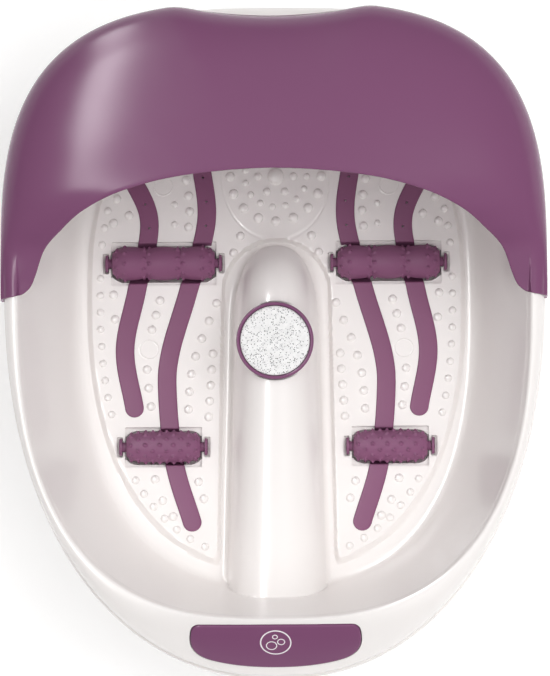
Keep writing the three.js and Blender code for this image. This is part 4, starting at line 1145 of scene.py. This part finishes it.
def build_barrel(roller, side):
    """Barrel with rows of soft nubs, staggered from row to row."""
    columns, rows = 190, int(roller.half * 2 / 0.42)
    turn = around(columns)
    x = roller.half * -np.cos(np.linspace(0, math.pi, rows))
    skin = barrel_radius(roller, x)
    bumps = np.zeros((rows, columns))
    stations = np.array(roller.stations) * roller.half
    for number, station in enumerate(stations):
        r_here = float(barrel_radius(roller, np.array(station)))
        for k in range(roller.rows):
            at = 2 * math.pi * (k + 0.5 * (number % 2)) / roller.rows
            gap = np.abs((turn - at + math.pi) % (2 * math.pi) - math.pi) * r_here
            away = np.hypot(gap[None, :], (x - station)[:, None])
            bumps = np.maximum(bumps, roller.nub * (1 - smooth_step(away, 0.3, 1.6)))
    r = skin[:, None] + bumps
    rings = np.stack(np.broadcast_arrays(x[:, None], r * np.cos(turn), r * np.sin(turn)), axis=-1)
    bore = AXLE_R + GAP
    inner = np.stack(np.broadcast_arrays(x[::6, None], bore * np.cos(turn), bore * np.sin(turn)), axis=-1)
    inner[0, :, 0], inner[-1, :, 0] = x[0], x[-1]
    points, faces = hoop_body(np.concatenate([rings, inner[::-1]]))
    node = f"roller_barrel_{roller.name}_{side}"
    shape = points + roller.place(side), faces
    body = f"barrel_{roller.name}_{side}"
    barrel = make(f"soft_{node}", shape, body, BARREL, [node])
    crisp(barrel, 55)


def build_axle(roller, side):
    """Axle with its fixed flange, and the pressed-on cap at the other end."""
    reach = roller.half + 1 + SADDLE + GAP
    disc = 1.8
    turned = Matrix.Translation(roller.place(side)) @ Matrix.Rotation(math.pi / 2, 4, "Y")
    body = f"axle_{roller.name}_{side}"
    axle = [(0.1, -reach - disc), (4.8, -reach - disc), (DISC_R, -reach - disc + 0.6), (DISC_R, -reach)]
    axle += [(AXLE_R, -reach), (AXLE_R, reach - GAP), (1.4, reach - GAP)]
    axle += [(1.4, reach + disc - 0.3), (0.1, reach + disc - 0.3)]
    node = f"roller_axle_{roller.name}_{side}"
    make_lathe(f"turned_{node}", axle, turned, body, BARREL, [node], 48, 0)
    cap = [(1.8, reach), (DISC_R, reach), (DISC_R, reach + disc - 0.6)]
    cap += [(4.8, reach + disc), (1.8, reach + disc)]
    node = f"roller_cap_{roller.name}_{side}"
    shape = moved(hoop_body(lathe_rings(cap, 48)), turned)
    piece = make(f"turned_{node}", shape, body, BARREL, [node])
    crisp(piece, 40)


# ---------- pumice attachment ----------
CUP_R = 22.1  # inside of the holder's ring
STONE_LOW = 3.8
STONE_TOP = 11.15
STONE_ROUGH = 0.12  # height of the waves in its face


def build_pumice():
    body, frame_matrix = "pumice_attachment", seat_matrix()
    stem = SOCKET_R - GAP
    holder = [(0.2, -12), (6.4, -12), (stem, -10), (stem, GAP), (21, GAP), (23.4, 1.4), (PUMICE_R, 3.2)]
    holder += [(PUMICE_R, 9.2), (24.2, 10), (23, 10), (CUP_R + 0.1, 9.5), (CUP_R, 3.4), (0.2, 3.4)]
    make_lathe("holder_ring", holder, frame_matrix, body, PURPLE, ["pumice_holder"], 128, 1)
    radius = CUP_R - 0.06
    edge = [(radius, STONE_LOW), (radius, 9.6), (radius - 0.5, 10.6), (radius - 1.8, 11.1)]
    rounded = softened(np.array(edge, float), 2).tolist()
    flat = [(r, STONE_TOP) for r in np.linspace(radius - 2.2, 0.3, 34)]
    profile = [(0.3, STONE_LOW), (radius * 0.7, STONE_LOW), *rounded, *flat]
    points = lathe_rings(profile, 160)
    rough = STONE_ROUGH * np.sin(points[..., 0] * 3.1) * np.sin(points[..., 1] * 2.7 + points[..., 0])
    points[..., 2] -= np.where(points[..., 2] > 9, np.abs(rough), 0)
    make("stone_disc", moved(rings_body(points), frame_matrix), body, STONE, ["pumice_stone"])


# ---------- button ----------
def build_button():
    """Pad that follows the fascia, with rounded edges, and its printed mark of plain bubbles."""
    outline = button_outline()
    outline = even(np.concatenate([outline, outline[:1]]), 0.8)[:-1]
    insets = [(0.0, -BUTTON_DEPTH), (0.0, BUTTON_PROUD - 1.0), (0.12, BUTTON_PROUD - 0.55)]
    insets += [(0.4, BUTTON_PROUD - 0.2), (0.9, BUTTON_PROUD - 0.03), (1.6, BUTTON_PROUD)]
    inward = -np.gradient(outline, axis=0)[:, ::-1] * (-1, 1)
    inward /= np.linalg.norm(inward, axis=1)[:, None]
    centre = outline.mean(axis=0)
    inward *= np.sign(((centre - outline) * inward).sum(axis=1))[:, None]
    rings = []
    for inset, height in insets:
        ring = outline + inward * inset
        base = fascia_height(ring) if height > -1 else np.full(len(ring), 0.0)
        rings.append(on_button(ring, base + height))
    last = outline + inward * 1.6
    for share in np.linspace(0.96, 0.03, 26):
        ring = np.c_[last[:, 0] * share, centre[1] + (last[:, 1] - centre[1]) * share]
        rings.append(on_button(ring, fascia_height(ring) + BUTTON_PROUD))
    shape = rings_body(np.array(rings))
    pad = make("touch_pad", shape, "button", PURPLE, ["bubble_button"])
    crisp(pad, 50)
    bodies = [mark_ring(0, MARK_RAISE, 9.4, 0.42)]
    for x, y, r in ((-2.6, -2.4, 3.2), (3.4, 0.6, 2.2), (-0.4, 4.6, 1.5)):
        bodies.append(mark_ring(x, MARK_RAISE + y, r, 0.3))
    mark = make("bubble_mark", together(bodies), "button", PRINT)
    crisp(mark, 40)


def mark_ring(x, y, r, half_width):
    """Thin raised ring printed on the button."""
    turns = around(72)
    inside, outside, high = r - half_width, r + half_width, 0.1
    rows = []
    for radius, height in ((inside, -high), (inside, high), (outside, high), (outside, -high)):
        ring = np.stack([x + radius * np.cos(turns), y + radius * np.sin(turns)], axis=-1)
        rows.append(on_button(ring, fascia_height(ring) + BUTTON_PROUD + height))
    return hoop_body(np.array(rows))


# ---------- carried-over CAD nodes ----------
def dress_cad_nodes():
    """Gives the pieces inside the housing their materials."""
    looks = {
        "switch_body": BLACK,
        "blower_impeller": BLACK,
        "switch_plunger": GREY,
        "blower_base": GREY,
        "blower_cover": GREY,
        "air_manifold": GREY,
        "air_hose": RUBBER,
        "terminal_block": OFF_WHITE,
        "motor_can": STEEL,
        "motor_shaft": STEEL,
    }
    for name, look in looks.items():
        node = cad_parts[name]
        node.data.materials.clear()
        node.data.materials.append(look)


# ---------- studio ----------
CAMERA_DISTANCE = 3.0
CAMERA_TARGET = Vector((0, 0.0045, 0.1))
CAMERA_SIDE = math.radians(1)
CAMERA_ELEVATION = math.radians(81)
CAMERA_ROLL = math.radians(0.4)
LENS = 252.6
SENSOR = 36
FLOOR_REACH = 6
FLOOR_GLOW = 0.2


def build_camera():
    back = Vector((math.sin(CAMERA_SIDE), -math.cos(CAMERA_ELEVATION), math.sin(CAMERA_ELEVATION)))
    back.normalize()
    right = (Vector((1, 0, 0)) - back * back.x).normalized()
    up = back.cross(right)
    rolled_right = right * math.cos(CAMERA_ROLL) - up * math.sin(CAMERA_ROLL)
    rolled_up = right * math.sin(CAMERA_ROLL) + up * math.cos(CAMERA_ROLL)
    data = bpy.data.cameras.new("camera")
    data.lens = LENS
    data.sensor_width = SENSOR
    data.clip_end = 50
    camera = bpy.data.objects.new("camera", data)
    turn = Matrix((rolled_right, rolled_up, back)).transposed()
    camera.matrix_world = Matrix.Translation(CAMERA_TARGET + back * CAMERA_DISTANCE) @ turn.to_4x4()
    bpy.context.scene.collection.objects.link(camera)
    bpy.context.scene.camera = camera


def softbox(name, position, target, width, height, power):
    data = bpy.data.lights.new(name, "AREA")
    data.shape = "RECTANGLE"
    data.size, data.size_y = width, height
    data.energy = power
    light = bpy.data.objects.new(name, data)
    light.location = position
    light.rotation_euler = (Vector(target) - Vector(position)).to_track_quat("-Z", "Y").to_euler()
    bpy.context.scene.collection.objects.link(light)
    return light


def build_floor():
    mesh = bpy.data.meshes.new("floor")
    corners = [(x * FLOOR_REACH, y * FLOOR_REACH, 0) for x, y in ((-1, -1), (1, -1), (1, 1), (-1, 1))]
    mesh.from_pydata(corners, [], [(0, 1, 2, 3)])
    floor = bpy.data.objects.new("floor", mesh)
    bpy.context.scene.collection.objects.link(floor)
    nodes = Nodes("pale_floor")
    tone = nodes.ramp(nodes.noise(2, 2), 0.3, 0.7, srgb(246, 246, 246), srgb(250, 250, 250))
    nodes.colour(tone)
    nodes.set(Roughness=0.9, Emission_Color=(1, 1, 1, 1), Emission_Strength=FLOOR_GLOW)
    mesh.materials.append(nodes.material)


SKY_HORIZON = 0.22
SKY_OVERHEAD = 0.78
STREAK_REACH = 2.0  # distance of the long softbox from the object's X axis
STREAK_X = -0.88
STREAK_WIDTH = 0.42
STREAK_POWERS = {95: 31, 55: 50, 15: 27}  # by how far each length is turned about the X axis


def build_studio():
    scene = bpy.context.scene
    scene.view_settings.view_transform = "Standard"
    world = bpy.data.worlds.new("studio")
    world.use_nodes = True
    light_sky(world.node_tree)
    scene.world = world
    build_streak_lights()
    for name, place, power in (("key_light", (0.75, 0.1, 2.1), 16), ("fill_light", (0.3, -1.1, 2.0), 8)):
        light = softbox(name, place, (0, 0, 0.1), 1.1, 1.1, power)
        light.visible_glossy = False


def light_sky(tree):
    """Sky that is brighter overhead than at the horizon."""
    sky = tree.nodes["Background"]
    sky.inputs["Color"].default_value = (1, 0.99, 0.985, 1)
    place = tree.nodes.new("ShaderNodeTexCoord")
    parts = tree.nodes.new("ShaderNodeSeparateXYZ")
    rise = tree.nodes.new("ShaderNodeMapRange")
    rise.inputs["To Min"].default_value = SKY_HORIZON
    rise.inputs["To Max"].default_value = SKY_OVERHEAD
    tree.links.new(place.outputs["Generated"], parts.inputs["Vector"])
    tree.links.new(parts.outputs["Z"], rise.inputs["Value"])
    tree.links.new(rise.outputs["Result"], sky.inputs["Strength"])


def build_streak_lights():
    """Long softbox in three flat lengths that bend over the object from front to back, on its left."""
    length = 2 * STREAK_REACH * math.tan(math.radians(20))
    for turn, power in STREAK_POWERS.items():
        y = STREAK_REACH * math.cos(math.radians(turn))
        z = STREAK_REACH * math.sin(math.radians(turn))
        name = f"streak_light_{turn}"
        place, aim = (STREAK_X, y + 0.1, z + 0.1), (STREAK_X, 0.1, 0.1)
        light = softbox(name, place, aim, STREAK_WIDTH, length, power)
        light.visible_diffuse = False


# ---------- assembly ----------
build_camera()
build_studio()
build_floor()
build_tub()
build_housing()
build_small_parts()
build_hood()
for side in SIDES:
    for place_name in STRIPS:
        build_strip(place_name, side)
    for roller in ROLLERS:
        build_barrel(roller, side)
        build_axle(roller, side)
build_pumice()
build_button()
dress_cad_nodes()
